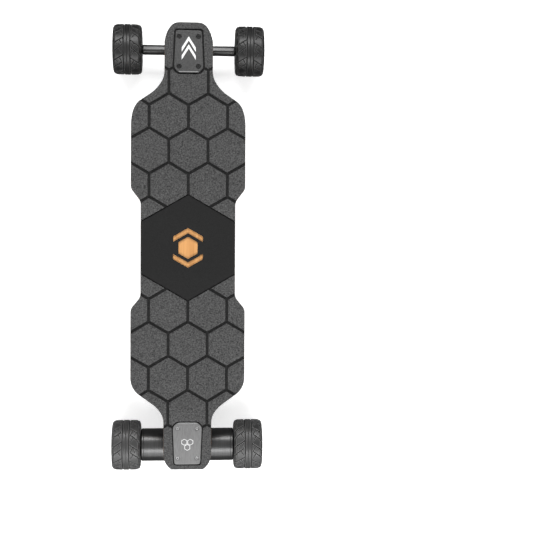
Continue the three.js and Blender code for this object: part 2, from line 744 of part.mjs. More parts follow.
// ---------------------------------------------------------------- motors and wheels
function addMotor(side, name, truck) {
  const mount = [
    [6.4, 28.5],
    [22, 28.5],
    [35.2, 39],
    [35.2, MOTOR_INNER_X - GAP],
    [29, MOTOR_INNER_X - GAP],
    [29, 95],
    [6.4, 95],
  ];
  const can = [
    [31.5, MOTOR_INNER_X],
    [MOTOR_RADIUS - 1.5, MOTOR_INNER_X],
    [MOTOR_RADIUS, MOTOR_INNER_X + 1.5],
    [MOTOR_RADIUS, MOTOR_OUTER_X - 3],
    [MOTOR_RADIUS - 3, MOTOR_OUTER_X],
    [7.5, MOTOR_OUTER_X],
    [7.5, 98],
    [31.5, 98],
  ];
  for (const [part, profile, material] of [
    ["stator", mount, blackMetal],
    ["can", can, anodised],
  ]) {
    const geometry = turnedX(profile, 28);
    if (side < 0) geometry.rotateZ(Math.PI);
    add(`motor_${part}_${name}`, geometry.translate(0, 0, AXLE_Z), material, truck);
  }
}

const TYRE_INNER_RADIUS = 36.8;
const HUB_RADIUS = TYRE_INNER_RADIUS - GAP;

function tyre() {
  const radius = WHEEL_DIAMETER / 2;
  const half = WHEEL_WIDTH / 2;
  const right = [
    [radius, 6],
    [radius - 2.4, 7],
    [radius, 9],
    [radius - 1.2, half - 9],
    [radius - 8, half],
    [TYRE_INNER_RADIUS, half - 2],
  ];
  const left = right.map(([r, x]) => [r, -x]).reverse();
  return turnedX([...right, ...left], 28);
}

function hub() {
  const right = [
    [HUB_RADIUS, 28],
    [32.5, 28],
    [32.5, 7],
    [16, 7],
    [16, 26.5],
    [11.3, 26.5],
  ];
  const left = right.map(([r, x]) => [r, -x]).reverse();
  const windows = [0, 1, 2, 3, 4].map((k) => {
    const angle = (k * 2 * Math.PI) / 5;
    return rodX(-12, 12, 24.2 * Math.cos(angle), 24.2 * Math.sin(angle), 6, 6);
  });
  return cut(turnedX([...right, ...left], 20), ...windows);
}

// Two ball bearings with the spacer between them, as one turned solid.
function bearings() {
  const right = [
    [11, 25],
    [11, 18],
    [6.5, 18],
  ];
  const left = right.map(([r, x]) => [r, -x]).reverse();
  return turnedX([[AXLE_RADIUS + 0.35, 25], ...right, ...left, [AXLE_RADIUS + 0.35, -25]], 12);
}

function axleNut() {
  const nut = rodX(-2.6, 2.6, 0, 0, 6.9, 6);
  return cut(nut, rodX(-5, 5, 0, 0, AXLE_RADIUS + GAP, 12));
}

function addWheel(side, name, truck) {
  const place = (geometry, x) => geometry.translate(side * x, 0, AXLE_Z);
  add(`tyre_${name}`, place(tyre(), WHEEL_CENTRE_X), rubber, truck);
  add(`hub_${name}`, place(hub(), WHEEL_CENTRE_X), blackPlastic, truck);
  add(`bearings_${name}`, place(bearings(), WHEEL_CENTRE_X), steel, truck);
  add(`axle_nut_${name}`, place(axleNut(), AXLE_END_X - 2.9), steel, truck);
}

// ---------------------------------------------------------------- cables
function addCables() {
  for (const [name, side] of [
    ["left", -1],
    ["right", 1],
  ]) {
    const route = [
      [32 * side, -307.4, 106],
      [33 * side, -330, 108.5],
      [37 * side, -362, 112.5],
      [40 * side, -390, 111],
      [39.5 * side, -407, 98],
      [36.6 * side, -413.6, 82.4],
    ];
    add(`motor_cable_${name}`, cable(route, 4, 18), rubber);
  }
  const lampRoute = [
    [-33, 298.4, 112],
    [-34, 318, 116],
    [-36.5, 341, 122],
    [-38, 360.6, 126.3],
  ];
  add("lamp_cable", cable(lampRoute, 1.9, 10), rubber);
  const tailRoute = [
    [25, -308.8, 112],
    [23, -325, 116],
    [12, -350, 122],
    [2, -374.2, 124],
  ];
  add("tail_cable", cable(tailRoute, 1.9, 10), rubber);
}

// ---------------------------------------------------------------- assembly
addDeck();
addPlate("nose_plate", 1, darkPlate);
addPlate("tail_plate", -1, lightPlate);
addEnclosure();
addElectronics();
addPowerButton();
addChargePort();
addLamps();
addRearRiser();
addCables();

const frontTruck = new THREE.Group();
frontTruck.position.y = WHEELBASE / 2;
skateboard.add(frontTruck);
addTruck("front", frontTruck, frontHanger());
addWheel(1, "front_right", frontTruck);
addWheel(-1, "front_left", frontTruck);

// The rear truck is turned half round, so its own right side is the board's left.
const rearTruck = new THREE.Group();
rearTruck.position.y = -WHEELBASE / 2;
rearTruck.rotation.z = Math.PI;
skateboard.add(rearTruck);
addTruck("rear", rearTruck, rearHanger());
addMotor(-1, "right", rearTruck);
addMotor(1, "left", rearTruck);
addWheel(-1, "rear_right", rearTruck);
addWheel(1, "rear_left", rearTruck);

export default skateboard;
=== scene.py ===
import math

import bmesh
import bpy
import numpy as np
from mathutils import Matrix, Vector
from mathutils.geometry import delaunay_2d_cdt, tessellate_polygon


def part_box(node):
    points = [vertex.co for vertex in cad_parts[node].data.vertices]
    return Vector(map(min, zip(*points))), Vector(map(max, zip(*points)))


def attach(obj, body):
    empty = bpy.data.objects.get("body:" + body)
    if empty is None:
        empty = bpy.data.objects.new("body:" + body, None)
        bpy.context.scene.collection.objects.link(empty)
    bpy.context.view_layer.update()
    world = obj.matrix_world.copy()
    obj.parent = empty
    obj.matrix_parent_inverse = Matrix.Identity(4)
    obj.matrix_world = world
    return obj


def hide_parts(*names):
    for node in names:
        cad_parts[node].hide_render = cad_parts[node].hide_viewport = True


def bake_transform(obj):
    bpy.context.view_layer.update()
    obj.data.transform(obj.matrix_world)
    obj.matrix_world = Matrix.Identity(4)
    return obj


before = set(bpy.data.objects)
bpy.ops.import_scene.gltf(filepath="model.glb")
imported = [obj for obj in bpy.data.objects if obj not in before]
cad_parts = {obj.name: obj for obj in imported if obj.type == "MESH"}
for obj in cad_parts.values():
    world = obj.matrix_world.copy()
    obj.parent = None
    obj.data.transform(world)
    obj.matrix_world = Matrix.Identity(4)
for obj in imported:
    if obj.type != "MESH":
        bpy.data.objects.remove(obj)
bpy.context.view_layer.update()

# An electric skateboard seen from straight above. Shapes are worked out in millimetres in the CAD's
# own frame (+X rider's right, +Y nose, +Z up) and turned into metres when a piece is made.
MM = 0.001


def low_high(node):
    low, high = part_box(node)
    return Vector(low) / MM, Vector(high) / MM


def middle(node):
    low, high = low_high(node)
    return (low + high) / 2


# ---------------------------------------------------------------- camera
DECK_LOW, DECK_HIGH = low_high("deck")
TOP_Z = low_high("nose_plate")[1].z
AXLE = middle("tyre_front_right")
CAMERA_HEIGHT = 2245
LENS = 70.5
ROLL = math.radians(0.3)
# The camera is over the board and looks past its right side, so the board stands left of the middle.
CAMERA_SPOT = (0, 3)
AIM_SPOT = (169, -38.8)


def add_camera():
    data = bpy.data.cameras.new("camera")
    data.lens = LENS
    data.sensor_width = 36
    camera = bpy.data.objects.new("camera", data)
    bpy.context.scene.collection.objects.link(camera)
    place = Vector((*CAMERA_SPOT, TOP_Z + CAMERA_HEIGHT)) * MM
    aim = Vector((*AIM_SPOT, TOP_Z)) * MM
    back = (place - aim).normalized()
    across = Vector((-math.sin(ROLL), math.cos(ROLL), 0)).cross(back).normalized()
    up = back.cross(across)
    turn = Matrix((across, up, back)).transposed().to_4x4()
    camera.matrix_world = Matrix.Translation(place) @ turn
    bpy.context.scene.camera = camera
    bpy.context.scene.view_settings.view_transform = "Standard"


# ---------------------------------------------------------------- materials
def material(name, roughness, metallic=0.0, **sockets):
    made = bpy.data.materials.new(name)
    made.use_nodes = True
    shader = made.node_tree.nodes["Principled BSDF"]
    shader.inputs["Roughness"].default_value = roughness
    shader.inputs["Metallic"].default_value = metallic
    for socket, value in sockets.items():
        shader.inputs[socket.replace("_", " ")].default_value = value
    return made, made.node_tree, shader


def node(tree, kind, inputs=(), **settings):
    made = tree.nodes.new(kind)
    for key, value in settings.items():
        setattr(made, key, value)
    for key, value in dict(inputs).items():
        if isinstance(value, bpy.types.NodeSocket):
            tree.links.new(value, made.inputs[key])
        else:
            made.inputs[key].default_value = value
    return made


def place_on(tree, stretch):
    coordinates = node(tree, "ShaderNodeTexCoord").outputs["Object"]
    inputs = {"Vector": coordinates, "Scale": stretch}
    return node(tree, "ShaderNodeMapping", inputs).outputs["Vector"]


def noise(tree, scale, stretch=(1, 1, 1), detail=3.0, rough=0.6):
    inputs = {"Vector": place_on(tree, stretch), "Scale": scale, "Detail": detail, "Roughness": rough}
    return node(tree, "ShaderNodeTexNoise", inputs).outputs["Fac"]


def ranged(tree, value, low, high, to_low=0.0, to_high=1.0):
    inputs = {"Value": value, "From Min": low, "From Max": high, "To Min": to_low, "To Max": to_high}
    return node(tree, "ShaderNodeMapRange", inputs).outputs["Result"]


def mixed(tree, factor, a, b):
    made = node(tree, "ShaderNodeMix", data_type="RGBA", blend_type="MIX")
    for key, value in ((0, factor), (6, a), (7, b)):
        if isinstance(value, bpy.types.NodeSocket):
            tree.links.new(value, made.inputs[key])
        else:
            made.inputs[key].default_value = value
    return made.outputs[2]


def grey(level):
    """A neutral colour from its 0 to 255 screen level."""
    linear = ((level / 255 + 0.055) / 1.055) ** 2.4
    return (linear, linear, linear, 1)


def surface(name, dark, light, roughness, metallic=0.0, grain=900, stretch=(1, 1, 1), relief=0.0001,
            broad=14, spread=0.08, edge_wear_and_highlight=None, **sockets):
    """A moulded, cast, brushed or foamed finish: fine grain in colour and relief, slow changes in gloss, and
    edges that may be painted pale as wear and painted highlight.
    """
    made, tree, shader = material(name, roughness, metallic, **sockets)
    fine = noise(tree, grain, stretch, 4.0, 0.65)
    slow = noise(tree, broad, (1, 1, 1), 3.0, 0.55)
    grained = ranged(tree, fine, 0.32, 0.68)
    colour = mixed(tree, grained, dark, light)
    shade = ranged(tree, slow, 0.3, 0.7, 0.0, 0.35)
    colour = mixed(tree, shade, colour, tuple(0.72 * c for c in light[:3]) + (1,))
    # Edges, found by pointiness, are painted lighter: partly wear, partly painted highlight.
    if edge_wear_and_highlight:
        edge = node(tree, "ShaderNodeNewGeometry").outputs["Pointiness"]
        colour = mixed(tree, ranged(tree, edge, 0.515, 0.56, 0.0, 0.8), colour, edge_wear_and_highlight)
    tree.links.new(colour, shader.inputs["Base Color"])
    gloss = ranged(tree, slow, 0.3, 0.7, roughness - spread, roughness + spread)
    tree.links.new(gloss, shader.inputs["Roughness"])
    relief_inputs = {"Strength": 0.6, "Distance": relief, "Height": fine}
    bump = node(tree, "ShaderNodeBump", relief_inputs)
    tree.links.new(bump.outputs["Normal"], shader.inputs["Normal"])
    return made


def bamboo_material():
    """Bamboo strips along the deck; the edge shows the plies through the height over the underside."""
    made, tree, shader = material("bamboo", 0.42, Coat_Weight=0.35, Coat_Roughness=0.25)
    strips = noise(tree, 1.0, (110, 2.2, 110), 3.0, 0.6)
    fibres = noise(tree, 1.0, (1400, 12, 1400), 4.0, 0.7)
    colour = mixed(tree, ranged(tree, strips, 0.3, 0.7), (0.52, 0.23, 0.06, 1), (0.74, 0.38, 0.13, 1))
    colour = mixed(tree, ranged(tree, fibres, 0.45, 0.8, 0, 0.55), colour, (0.24, 0.1, 0.03, 1))
    height = node(tree, "ShaderNodeAttribute", attribute_name="ply_height").outputs["Fac"]
    wave = {"Value": height, "From Min": 0.0, "From Max": PLY_THICKNESS * MM, "To Min": 0.0, "To Max": 1.0}
    count = node(tree, "ShaderNodeMapRange", wave, clamp=False).outputs["Result"]
    within = node(tree, "ShaderNodeMath", {0: count}, operation="FRACT").outputs[0]
    line = ranged(tree, within, 0.78, 0.92)
    colour = mixed(tree, line, colour, (0.13, 0.055, 0.02, 1))
    tree.links.new(colour, shader.inputs["Base Color"])
    bump = node(tree, "ShaderNodeBump", {"Strength": 0.3, "Distance": 0.0001, "Height": fibres})
    tree.links.new(bump.outputs["Normal"], shader.inputs["Normal"])
    return made


def foam_material(name, dark, light):
    """Closed-cell foam: a woven-looking grain of small pits with the odd pale fleck."""
    made, tree, shader = material(name, 0.92, Specular_IOR_Level=0.25)
    weave = noise(tree, 520, (1, 0.5, 1), 2.0, 0.5)
    cross = noise(tree, 520, (0.5, 1, 1), 2.0, 0.5)
    slow = noise(tree, 9, (1, 1, 1), 3.0, 0.5)
    colour = mixed(tree, ranged(tree, weave, 0.4, 0.6), dark, light)
    crossed = mixed(tree, ranged(tree, cross, 0.4, 0.6), dark, light)
    colour = mixed(tree, 0.5, colour, crossed)
    colour = mixed(tree, ranged(tree, slow, 0.35, 0.7, 0, 0.12), colour, dark)
    fleck = noise(tree, 1500, (1, 1, 1), 1.0, 0.5)
    pale = tuple(1.9 * c for c in light[:3]) + (1,)
    colour = mixed(tree, ranged(tree, fleck, 0.66, 0.75, 0, 0.5), colour, pale)
    tree.links.new(colour, shader.inputs["Base Color"])
    pits = node(tree, "ShaderNodeTexVoronoi", {"Vector": place_on(tree, (1, 1, 1)), "Scale": 900.0})
    relief = {"Strength": 0.5, "Distance": 0.00025, "Height": pits.outputs["Distance"]}
    bump = node(tree, "ShaderNodeBump", relief)
    tree.links.new(bump.outputs["Normal"], shader.inputs["Normal"])
    return made


def lens_material():
    """Clear plastic with a faint moulded ripple."""
    made, tree, shader = material("lens", 0.05, 0.0, Transmission_Weight=0.9, IOR=1.49)
    haze = noise(tree, 60)
    colour = mixed(tree, ranged(tree, haze, 0.3, 0.7), (0.9, 0.92, 0.94, 1), (0.97, 0.98, 1.0, 1))
    tree.links.new(colour, shader.inputs["Base Color"])
    tree.links.new(ranged(tree, haze, 0.3, 0.7, 0.03, 0.09), shader.inputs["Roughness"])
    return made


def tyre_material(name, painted_light_lift):
    """Black rubber: matt grooves painted dark as shade, scuffed blocks, edges painted pale as scuff and
    highlight, and painted light lifting the tone.
    """
    made, tree, shader = material(name, 0.4)
    fine = noise(tree, 1400, (1, 1, 1), 4.0, 0.65)
    slow = noise(tree, 30, (1, 1, 1), 3.0, 0.55)
    # Every tone here is lifted by the last argument, which paints light onto the rear tyres.
    rubber = mixed(tree, ranged(tree, fine, 0.32, 0.68), grey(7 + painted_light_lift), grey(17 + painted_light_lift))
    rubber = mixed(tree, ranged(tree, slow, 0.35, 0.65, 0.0, 0.5), rubber, grey(26 + painted_light_lift))
    # Edges, found by pointiness, are painted lighter: partly scuffing, partly painted highlight.
    edge = node(tree, "ShaderNodeNewGeometry").outputs["Pointiness"]
    rubber = mixed(tree, ranged(tree, edge, 0.51, 0.55, 0.0, 0.7), rubber, grey(108 + painted_light_lift))
    # The grooves are painted near black as painted shade in the recesses, and made matt.
    depth = node(tree, "ShaderNodeAttribute", attribute_name="groove").outputs["Fac"]
    tree.links.new(mixed(tree, depth, rubber, grey(6 + painted_light_lift / 3)), shader.inputs["Base Color"])
    block = ranged(tree, slow, 0.3, 0.7, 0.33, 0.47)
    tree.links.new(ranged(tree, depth, 0.0, 1.0, block, 0.9), shader.inputs["Roughness"])
    bump = node(tree, "ShaderNodeBump", {"Strength": 0.6, "Distance": 0.0002, "Height": fine})
    tree.links.new(bump.outputs["Normal"], shader.inputs["Normal"])
    return made


DECK_THICK = 12
PLY_THICKNESS = DECK_THICK / 7

BAMBOO = bamboo_material()
DECK_PAINT = surface("deck_paint", grey(42), grey(58), 0.5, grain=1500, relief=0.0002)
FOAM = foam_material("foam", grey(43), grey(88))
# The grips' backing and film are painted dark as the shade in the grooves and gaps.
FOAM_GROOVE_SHADE = foam_material("foam_groove_shade", grey(18), grey(38))
PANEL_FOAM = foam_material("panel_foam", grey(27), grey(33))
DARK_PLATE = surface("dark_plate", grey(38), grey(84), 0.48, 0.4, grain=620, relief=0.0002)
LIGHT_PLATE = surface("light_plate", grey(104), grey(128), 0.45, 0.5, grain=1100, stretch=(1, 0.08, 1))
PAINT_MARK = surface("paint_mark", grey(225), grey(242), 0.5, grain=1600)
BLACK_PLASTIC = surface("black_plastic", grey(26), grey(38), 0.5, grain=1500, relief=0.0002, edge_wear_and_highlight=grey(70))
SHELL_PLASTIC = surface("shell_plastic", grey(28), grey(42), 0.46, grain=1500, relief=0.0002)
GLOSS_BLACK = surface("gloss_black", grey(18), grey(26), 0.16, grain=600, relief=0.00002, spread=0.04)
BLACK_METAL = surface("black_metal", grey(62), grey(80), 0.34, 0.85, grain=1300, relief=0.00004,
                      edge_wear_and_highlight=grey(150))
# Its pale edges are mostly painted highlight on the casting's ribs and rims, with some wear.
CAST_METAL = surface("cast_metal", grey(84), grey(112), 0.42, 0.85, grain=1200, relief=0.0003,
                     edge_wear_and_highlight=grey(190))
ANODISED = surface("anodised", grey(72), grey(86), 0.34, 0.9, grain=900, stretch=(1, 0.03, 0.03),
                   relief=0.000006, spread=0.03)
BLACK_OXIDE = surface("black_oxide", grey(30), grey(46), 0.36, 0.5, grain=900, relief=0.00003)
GREY_OXIDE = surface("grey_oxide", grey(104), grey(132), 0.4, 0.6, grain=900, relief=0.00003,
                     edge_wear_and_highlight=grey(190))
STEEL = surface("steel", grey(175), grey(205), 0.24, 1.0, grain=1000, stretch=(0.1, 1, 1), relief=0.00003)
TYRE = tyre_material("tyre", 0)
# The rear tyres are painted lighter than the front ones, as painted light from the tail side.
REAR_TYRE_PAINTED_LIGHT = tyre_material("driven_tyre", 34)
HUB = surface("hub_plastic", grey(28), grey(40), 0.4, grain=1400, relief=0.0001, edge_wear_and_highlight=grey(80))
URETHANE = surface("urethane", grey(36), grey(46), 0.45, grain=500, relief=0.00005)
TRIM_RUBBER = surface("trim_rubber", grey(24), grey(34), 0.8, grain=1800, relief=0.0001)
JACKET = surface("cable_jacket", grey(24), grey(36), 0.55, grain=1800, stretch=(1, 1, 0.4),
                 relief=0.0002)
REFLECTOR = surface("reflector", grey(205), grey(225), 0.12, 1.0, grain=300, relief=0.00002,
                    spread=0.03)
WRAP = surface("battery_wrap", (0.02, 0.08, 0.28, 1), (0.03, 0.12, 0.36, 1), 0.3, grain=220,
               relief=0.0004)
CIRCUIT = surface("circuit_board", (0.006, 0.07, 0.03, 1), (0.012, 0.13, 0.05, 1), 0.35, grain=420)
LENS_CLEAR = lens_material()


# ---------------------------------------------------------------- plan shapes
def anticlockwise(points):
    turned = sum(a[0] * b[1] - b[0] * a[1] for a, b in zip(points, points[1:] + points[:1]))
    return points if turned > 0 else points[::-1]


def rounded(points, radius, steps=3, keep_axis=False):
    """A closed outline with its corners rounded; a turned profile keeps its points on the axis."""
    made = []
    for i, corner in enumerate(points):
        if keep_axis and corner[0] == 0:
            made.append(corner)
            continue
        here = Vector(corner[:2])
        ends = []
        for other in (points[i - 1], points[(i + 1) % len(points)]):
            side = Vector(other[:2]) - here
            ends.append(here + side.normalized() * min(radius, side.length * 0.49))
        for k in range(steps + 1):
            t = k / steps
            point = ends[0] * (1 - t) ** 2 + here * 2 * t * (1 - t) + ends[1] * t * t
            made.append((point.x, point.y, *corner[2:]))
    return made


def rounded_rectangle(width, length, radius, centre=(0, 0), steps=6, nose_radius=None):
    """The corners towards +Y may have a radius of their own."""
    made = []
    for k, (sx, sy) in enumerate(((1, 1), (-1, 1), (-1, -1), (1, -1))):
        bend = nose_radius if nose_radius and sy > 0 else radius
        x, y = centre[0] + sx * (width / 2 - bend), centre[1] + sy * (length / 2 - bend)
        for j in range(steps + 1):
            angle = (k + j / steps) * math.pi / 2
            made.append((x + bend * math.cos(angle), y + bend * math.sin(angle)))
    return made


def circle(x, y, radius, sides=24):
    turns = [2 * math.pi * k / sides for k in range(sides)]
    return [(x + radius * math.cos(a), y + radius * math.sin(a)) for a in turns]


def inset(loop, distance):
    """Every side of a loop moved to its left, so an outline shrinks and a hole grows."""
    made = []
    for i, corner in enumerate(loop):
        here = Vector(corner)
        into = (here - Vector(loop[i - 1])).normalized()
        out = (Vector(loop[(i + 1) % len(loop)]) - here).normalized()
        before, after = Vector((-into.y, into.x)), Vector((-out.y, out.x))
        spread = max(0.4, 1 + before.dot(after))
        made.append(tuple(here + (before + after) * distance / spread))
    return made


def region(outline, inside=(), outside=()):
    """The loops round the part of an outline that is in every inside shape and in no outside shape."""
    shapes = [anticlockwise(list(s)) for s in (outline, *inside, *outside)]
    points, faces = [], []
    for shape in shapes:
        faces.append(list(range(len(points), len(points) + len(shape))))
        points += [Vector(p) for p in shape]
    found, _, triangles, _, _, origins = delaunay_2d_cdt(points, [], faces, 1, 1e-4)
    wanted = set(range(1 + len(inside)))
    kept = [t for t, o in zip(triangles, origins) if wanted <= set(o) and max(o) < len(wanted)]
    edges = {(a, b) for t in kept for a, b in zip(t, t[1:] + t[:1])}
    follows = {a: b for a, b in edges if (b, a) not in edges}
    loops = []
    while follows:
        start = next(iter(sorted(follows)))
        loop = [start]
        while follows[loop[-1]] != start:
            loop.append(follows[loop[-1]])
        for corner in loop:
            del follows[corner]
        corners = [tuple(found[c]) for c in loop]
        apart = [c for i, c in enumerate(corners) if (Vector(c) - Vector(corners[i - 1])).length > 0.05]
        loops.append(apart)
    return loops


# ---------------------------------------------------------------- solid shapes, as points and faces
def slab(loops, low, high, low_bevel=0.0, high_bevel=0.0, steps=3):
    """A plate between two heights with rounded rims; the first loop is its outline, the others its holes."""
    levels = []
    for bevel, z, way in ((low_bevel, low, 1), (high_bevel, high, -1)):
        arc = [(bevel * (1 - math.sin(a)), z + way * bevel * (1 - math.cos(a)))
               for a in (math.pi / 2 * k / steps for k in range(steps + 1))] if bevel else [(0, z)]
        levels += arc if way > 0 else arc[::-1]
    points, faces, starts = [], [], []
    for loop in loops:
        start = len(points)
        starts.append(start)
        count = len(loop)
        for shrink, z in levels:
            points += [(x, y, z) for x, y in inset(loop, shrink)]
        for row in range(len(levels) - 1):
            for i in range(count):
                a, b = start + row * count + i, start + row * count + (i + 1) % count
                faces.append((a, b, b + count, a + count))
    for shrink, row in ((levels[0][0], 0), (levels[-1][0], len(levels) - 1)):
        flat = [[Vector((x, y, 0)) for x, y in inset(loop, shrink)] for loop in loops]
        index = [starts[k] + row * len(loop) + i for k, loop in enumerate(loops) for i in range(len(loop))]
        faces += [tuple(index[i] for i in t) for t in tessellate_polygon(flat)]
    return points, faces


def lathe(profile, sides=48, origin=(0, 0, 0), axis=(0, 0, 1)):
    """A closed profile of (radius, height) turned about an axis; a third value, 6, makes a ring a hexagon."""
    turn = Vector((0, 0, 1)).rotation_difference(Vector(axis))
    points, faces, rings = [], [], []
    for radius, height, *flats in profile:
        if radius < 1e-6:
            rings.append([len(points)])
            points.append(turn @ Vector((0, 0, height)) + Vector(origin))
            continue
        rings.append(list(range(len(points), len(points) + sides)))
        for k in range(sides):
            angle = 2 * math.pi * k / sides
            reach = radius
            if flats:
                sector = math.pi / 3
                reach = radius / math.cos((angle + sector / 2) % sector - sector / 2)
            spot = Vector((reach * math.cos(angle), reach * math.sin(angle), height))
            points.append(turn @ spot + Vector(origin))
    for a, b in zip(rings, rings[1:] + rings[:1]):
        if len(a) == 1 and len(b) == 1:
            continue
        for k in range(sides):
            n = (k + 1) % sides
            if len(a) == 1:
                faces.append((a[0], b[n], b[k]))
            elif len(b) == 1:
                faces.append((a[k], a[n], b[0]))
            else:
                faces.append((a[k], a[n], b[n], b[k]))
    return points, faces


def turned(profile, radius=0.5, **settings):
    return lathe(rounded(profile, radius, 3, keep_axis=True), **settings)


def tube(route, radius, sides=20, steps=10):
    """A round cable along a smooth curve through its points."""
    knots = [Vector(p) for p in route]
    ends = [2 * knots[0] - knots[1], *knots, 2 * knots[-1] - knots[-2]]
    line = []
    for a, b, c, d in zip(ends, ends[1:], ends[2:], ends[3:]):
        for k in range(steps):
            t = k / steps
            line.append(0.5 * (2 * b + (c - a) * t + (2 * a - 5 * b + 4 * c - d) * t * t
                               + (3 * b - a - 3 * c + d) * t ** 3))
    line.append(knots[-1])
    points, faces = [], []
    side = (line[1] - line[0]).orthogonal().normalized()
    for i, spot in enumerate(line):
        ahead = (line[min(i + 1, len(line) - 1)] - line[max(i - 1, 0)]).normalized()
        side = (side - ahead * side.dot(ahead)).normalized()
        other = ahead.cross(side)
        for k in range(sides):
            angle = 2 * math.pi * k / sides
            points.append(spot + radius * (side * math.cos(angle) + other * math.sin(angle)))
    for i in range(len(line) - 1):
        for k in range(sides):
            a, b = i * sides + k, i * sides + (k + 1) % sides
            faces.append((a, b, b + sides, a + sides))
    faces.append(tuple(range(sides)))
    faces.append(tuple(range((len(line) - 1) * sides, len(line) * sides)))
    return points, faces


def moved(shape, matrix):
    return [matrix @ Vector(p) for p in shape[0]], shape[1]


def joined(shapes):
    points, faces = [], []
    for shape in shapes:
        start = len(points)
        points += list(shape[0])
        faces += [tuple(start + i for i in face) for face in shape[1]]
    return points, faces


def as_bmesh(shape):
    mesh = bmesh.new()
    for point in shape[0]:
        mesh.verts.new(point)
    mesh.verts.ensure_lookup_table()
    for face in shape[1]:
        mesh.faces.new([mesh.verts[i] for i in face])
    return mesh


def from_bmesh(mesh):
    mesh.verts.index_update()
    points = [v.co.copy() for v in mesh.verts]
    faces = [tuple(v.index for v in f.verts) for f in mesh.faces]
    mesh.free()
    return points, faces


def sliced(mesh, point, normal, **settings):
    everything = mesh.verts[:] + mesh.edges[:] + mesh.faces[:]
    return bmesh.ops.bisect_plane(mesh, geom=everything, plane_co=point, plane_no=normal, **settings)


def cad_shape(name, half_width=None):
    """A CAD node's own surface; with a half width, only its middle, closed again at both cuts."""
    mesh = bmesh.new()
    mesh.from_mesh(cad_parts[name].data)
    bmesh.ops.scale(mesh, vec=(1 / MM,) * 3, verts=mesh.verts)
    bmesh.ops.remove_doubles(mesh, verts=mesh.verts, dist=0.005)
    if half_width:
        for side in (-1, 1):
            cut = sliced(mesh, (side * half_width, 0, 0), (side, 0, 0), clear_outer=True)
            edges = [e for e in cut["geom_cut"] if isinstance(e, bmesh.types.BMEdge)]
            bmesh.ops.triangle_fill(mesh, edges=edges, use_beauty=True)
    return from_bmesh(mesh)


def carved(shape, tool):
    """A shape with the tool taken out of it."""
    objects = []
    for part in (shape, tool):
        mesh = as_bmesh(part)
        bmesh.ops.recalc_face_normals(mesh, faces=mesh.faces)
        data = bpy.data.meshes.new("carving")
        mesh.to_mesh(data)
        mesh.free()
        objects.append(bpy.data.objects.new("carving", data))
        bpy.context.scene.collection.objects.link(objects[-1])
    cut = objects[0].modifiers.new("cut", "BOOLEAN")
    cut.operation = "DIFFERENCE"
    cut.solver = "EXACT"
    cut.object = objects[1]
    result = objects[0].evaluated_get(bpy.context.evaluated_depsgraph_get()).to_mesh()
    points = [v.co.copy() for v in result.vertices]
    faces = [tuple(p.vertices) for p in result.polygons]
    for made in objects:
        bpy.data.objects.remove(made)
    return points, faces


# ---------------------------------------------------------------- pieces
def piece(name, parts, body, replaces=(), crease=32):
    """One visible piece from pairs of material and shape, riding on a body."""
    mesh = bmesh.new()
    materials = []
    for finish, shape in parts:
        if finish not in materials:
            materials.append(finish)
        start = len(mesh.verts)
        for point in shape[0]:
            mesh.verts.new(Vector(point) * MM)
        mesh.verts.ensure_lookup_table()
        for face in shape[1]:
            made = mesh.faces.new([mesh.verts[start + i] for i in face])
            made.material_index = materials.index(finish)
            made.smooth = True
    bmesh.ops.recalc_face_normals(mesh, faces=mesh.faces)
    data = bpy.data.meshes.new(name)
    mesh.to_mesh(data)
    mesh.free()
    data.set_sharp_from_angle(angle=math.radians(crease))
    for finish in materials:
        data.materials.append(finish)
    made = bpy.data.objects.new(name, data)
    bpy.context.scene.collection.objects.link(made)
    if body:
        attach(made, body)
    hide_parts(*replaces)
    return made


def firm(made):
    """Keeps wide flat faces flat in shading, so that the light turns only at their rounded rims."""
    normals = made.modifiers.new("normals", "WEIGHTED_NORMAL")
    normals.keep_sharp = True


def cast(made, voxel, rounds):
    """Melts a piece's overlapping solids into one skin with soft inside corners, as casting does."""
    skin = made.modifiers.new("skin", "REMESH")
    skin.mode = "VOXEL"
    skin.voxel_size = voxel * MM
    skin.use_smooth_shade = True
    soften = made.modifiers.new("soften", "SMOOTH")
    soften.factor = 0.5
    soften.iterations = rounds


# ---------------------------------------------------------------- deck
DECK_MIDDLE_Y = (DECK_LOW.y + DECK_HIGH.y) / 2
PANEL_Y = DECK_MIDDLE_Y - 2.5
UNDERSIDE_Z = DECK_LOW.z
DECK_EDGE = [
    (19.6, 480), (44, 480, 51.8, 440), (51.8, 375), (52.5, 351, 78.5, 330), (104, 313),
    (122, 299, 122.7, 262), (122.7, 132), (122.7, 124, 118, 118), (106, 102.5),
    (101.5, 96.5, 101.5, 88), (101.5, -99.5),
    (101.5, -108, 106, -114), (118, -128.5), (122.6, -134, 122.6, -142), (122.6, -282),
    (122.6, -308, 99, -323), (78.5, -337.5), (52.5, -355, 51.6, -378), (51.2, -452), (48, -471, 34, -480),
]


def deck_outline(steps=9):
    """Straight and curved runs down the right side, from nose to tail, and their mirror image."""
    right = [Vector(DECK_EDGE[0])]
    for run in DECK_EDGE[1:]:
        if len(run) == 2:
            right.append(Vector(run))
            continue
        start, bend, end = right[-1], Vector(run[:2]), Vector(run[2:])
        for k in range(1, steps + 1):
            t = k / steps
            right.append(start * (1 - t) ** 2 + bend * 2 * t * (1 - t) + end * t * t)
    points = [(p.x, p.y + DECK_MIDDLE_Y) for p in right]
    return anticlockwise(points + [(-x, y) for x, y in points[::-1]])


# The platforms end and the necks begin this far from the middle; the concave begins this far out.
NECK_START, NECK_RUN, NECK_RISE = 306, 51, 8
CONCAVE_START, CONCAVE_RUN, CONCAVE_RISE = 70, 52.7, 6


def rise(x, y):
    """How far the deck's curves lift a point over the platform: the S-bend to the necks and the concave."""
    t = min(1, max(0, (abs(y - DECK_MIDDLE_Y) - NECK_START) / NECK_RUN))
    out = max(0, abs(x) - CONCAVE_START) / CONCAVE_RUN
    return NECK_RISE * t * t * (3 - 2 * t) + CONCAVE_RISE * out * out


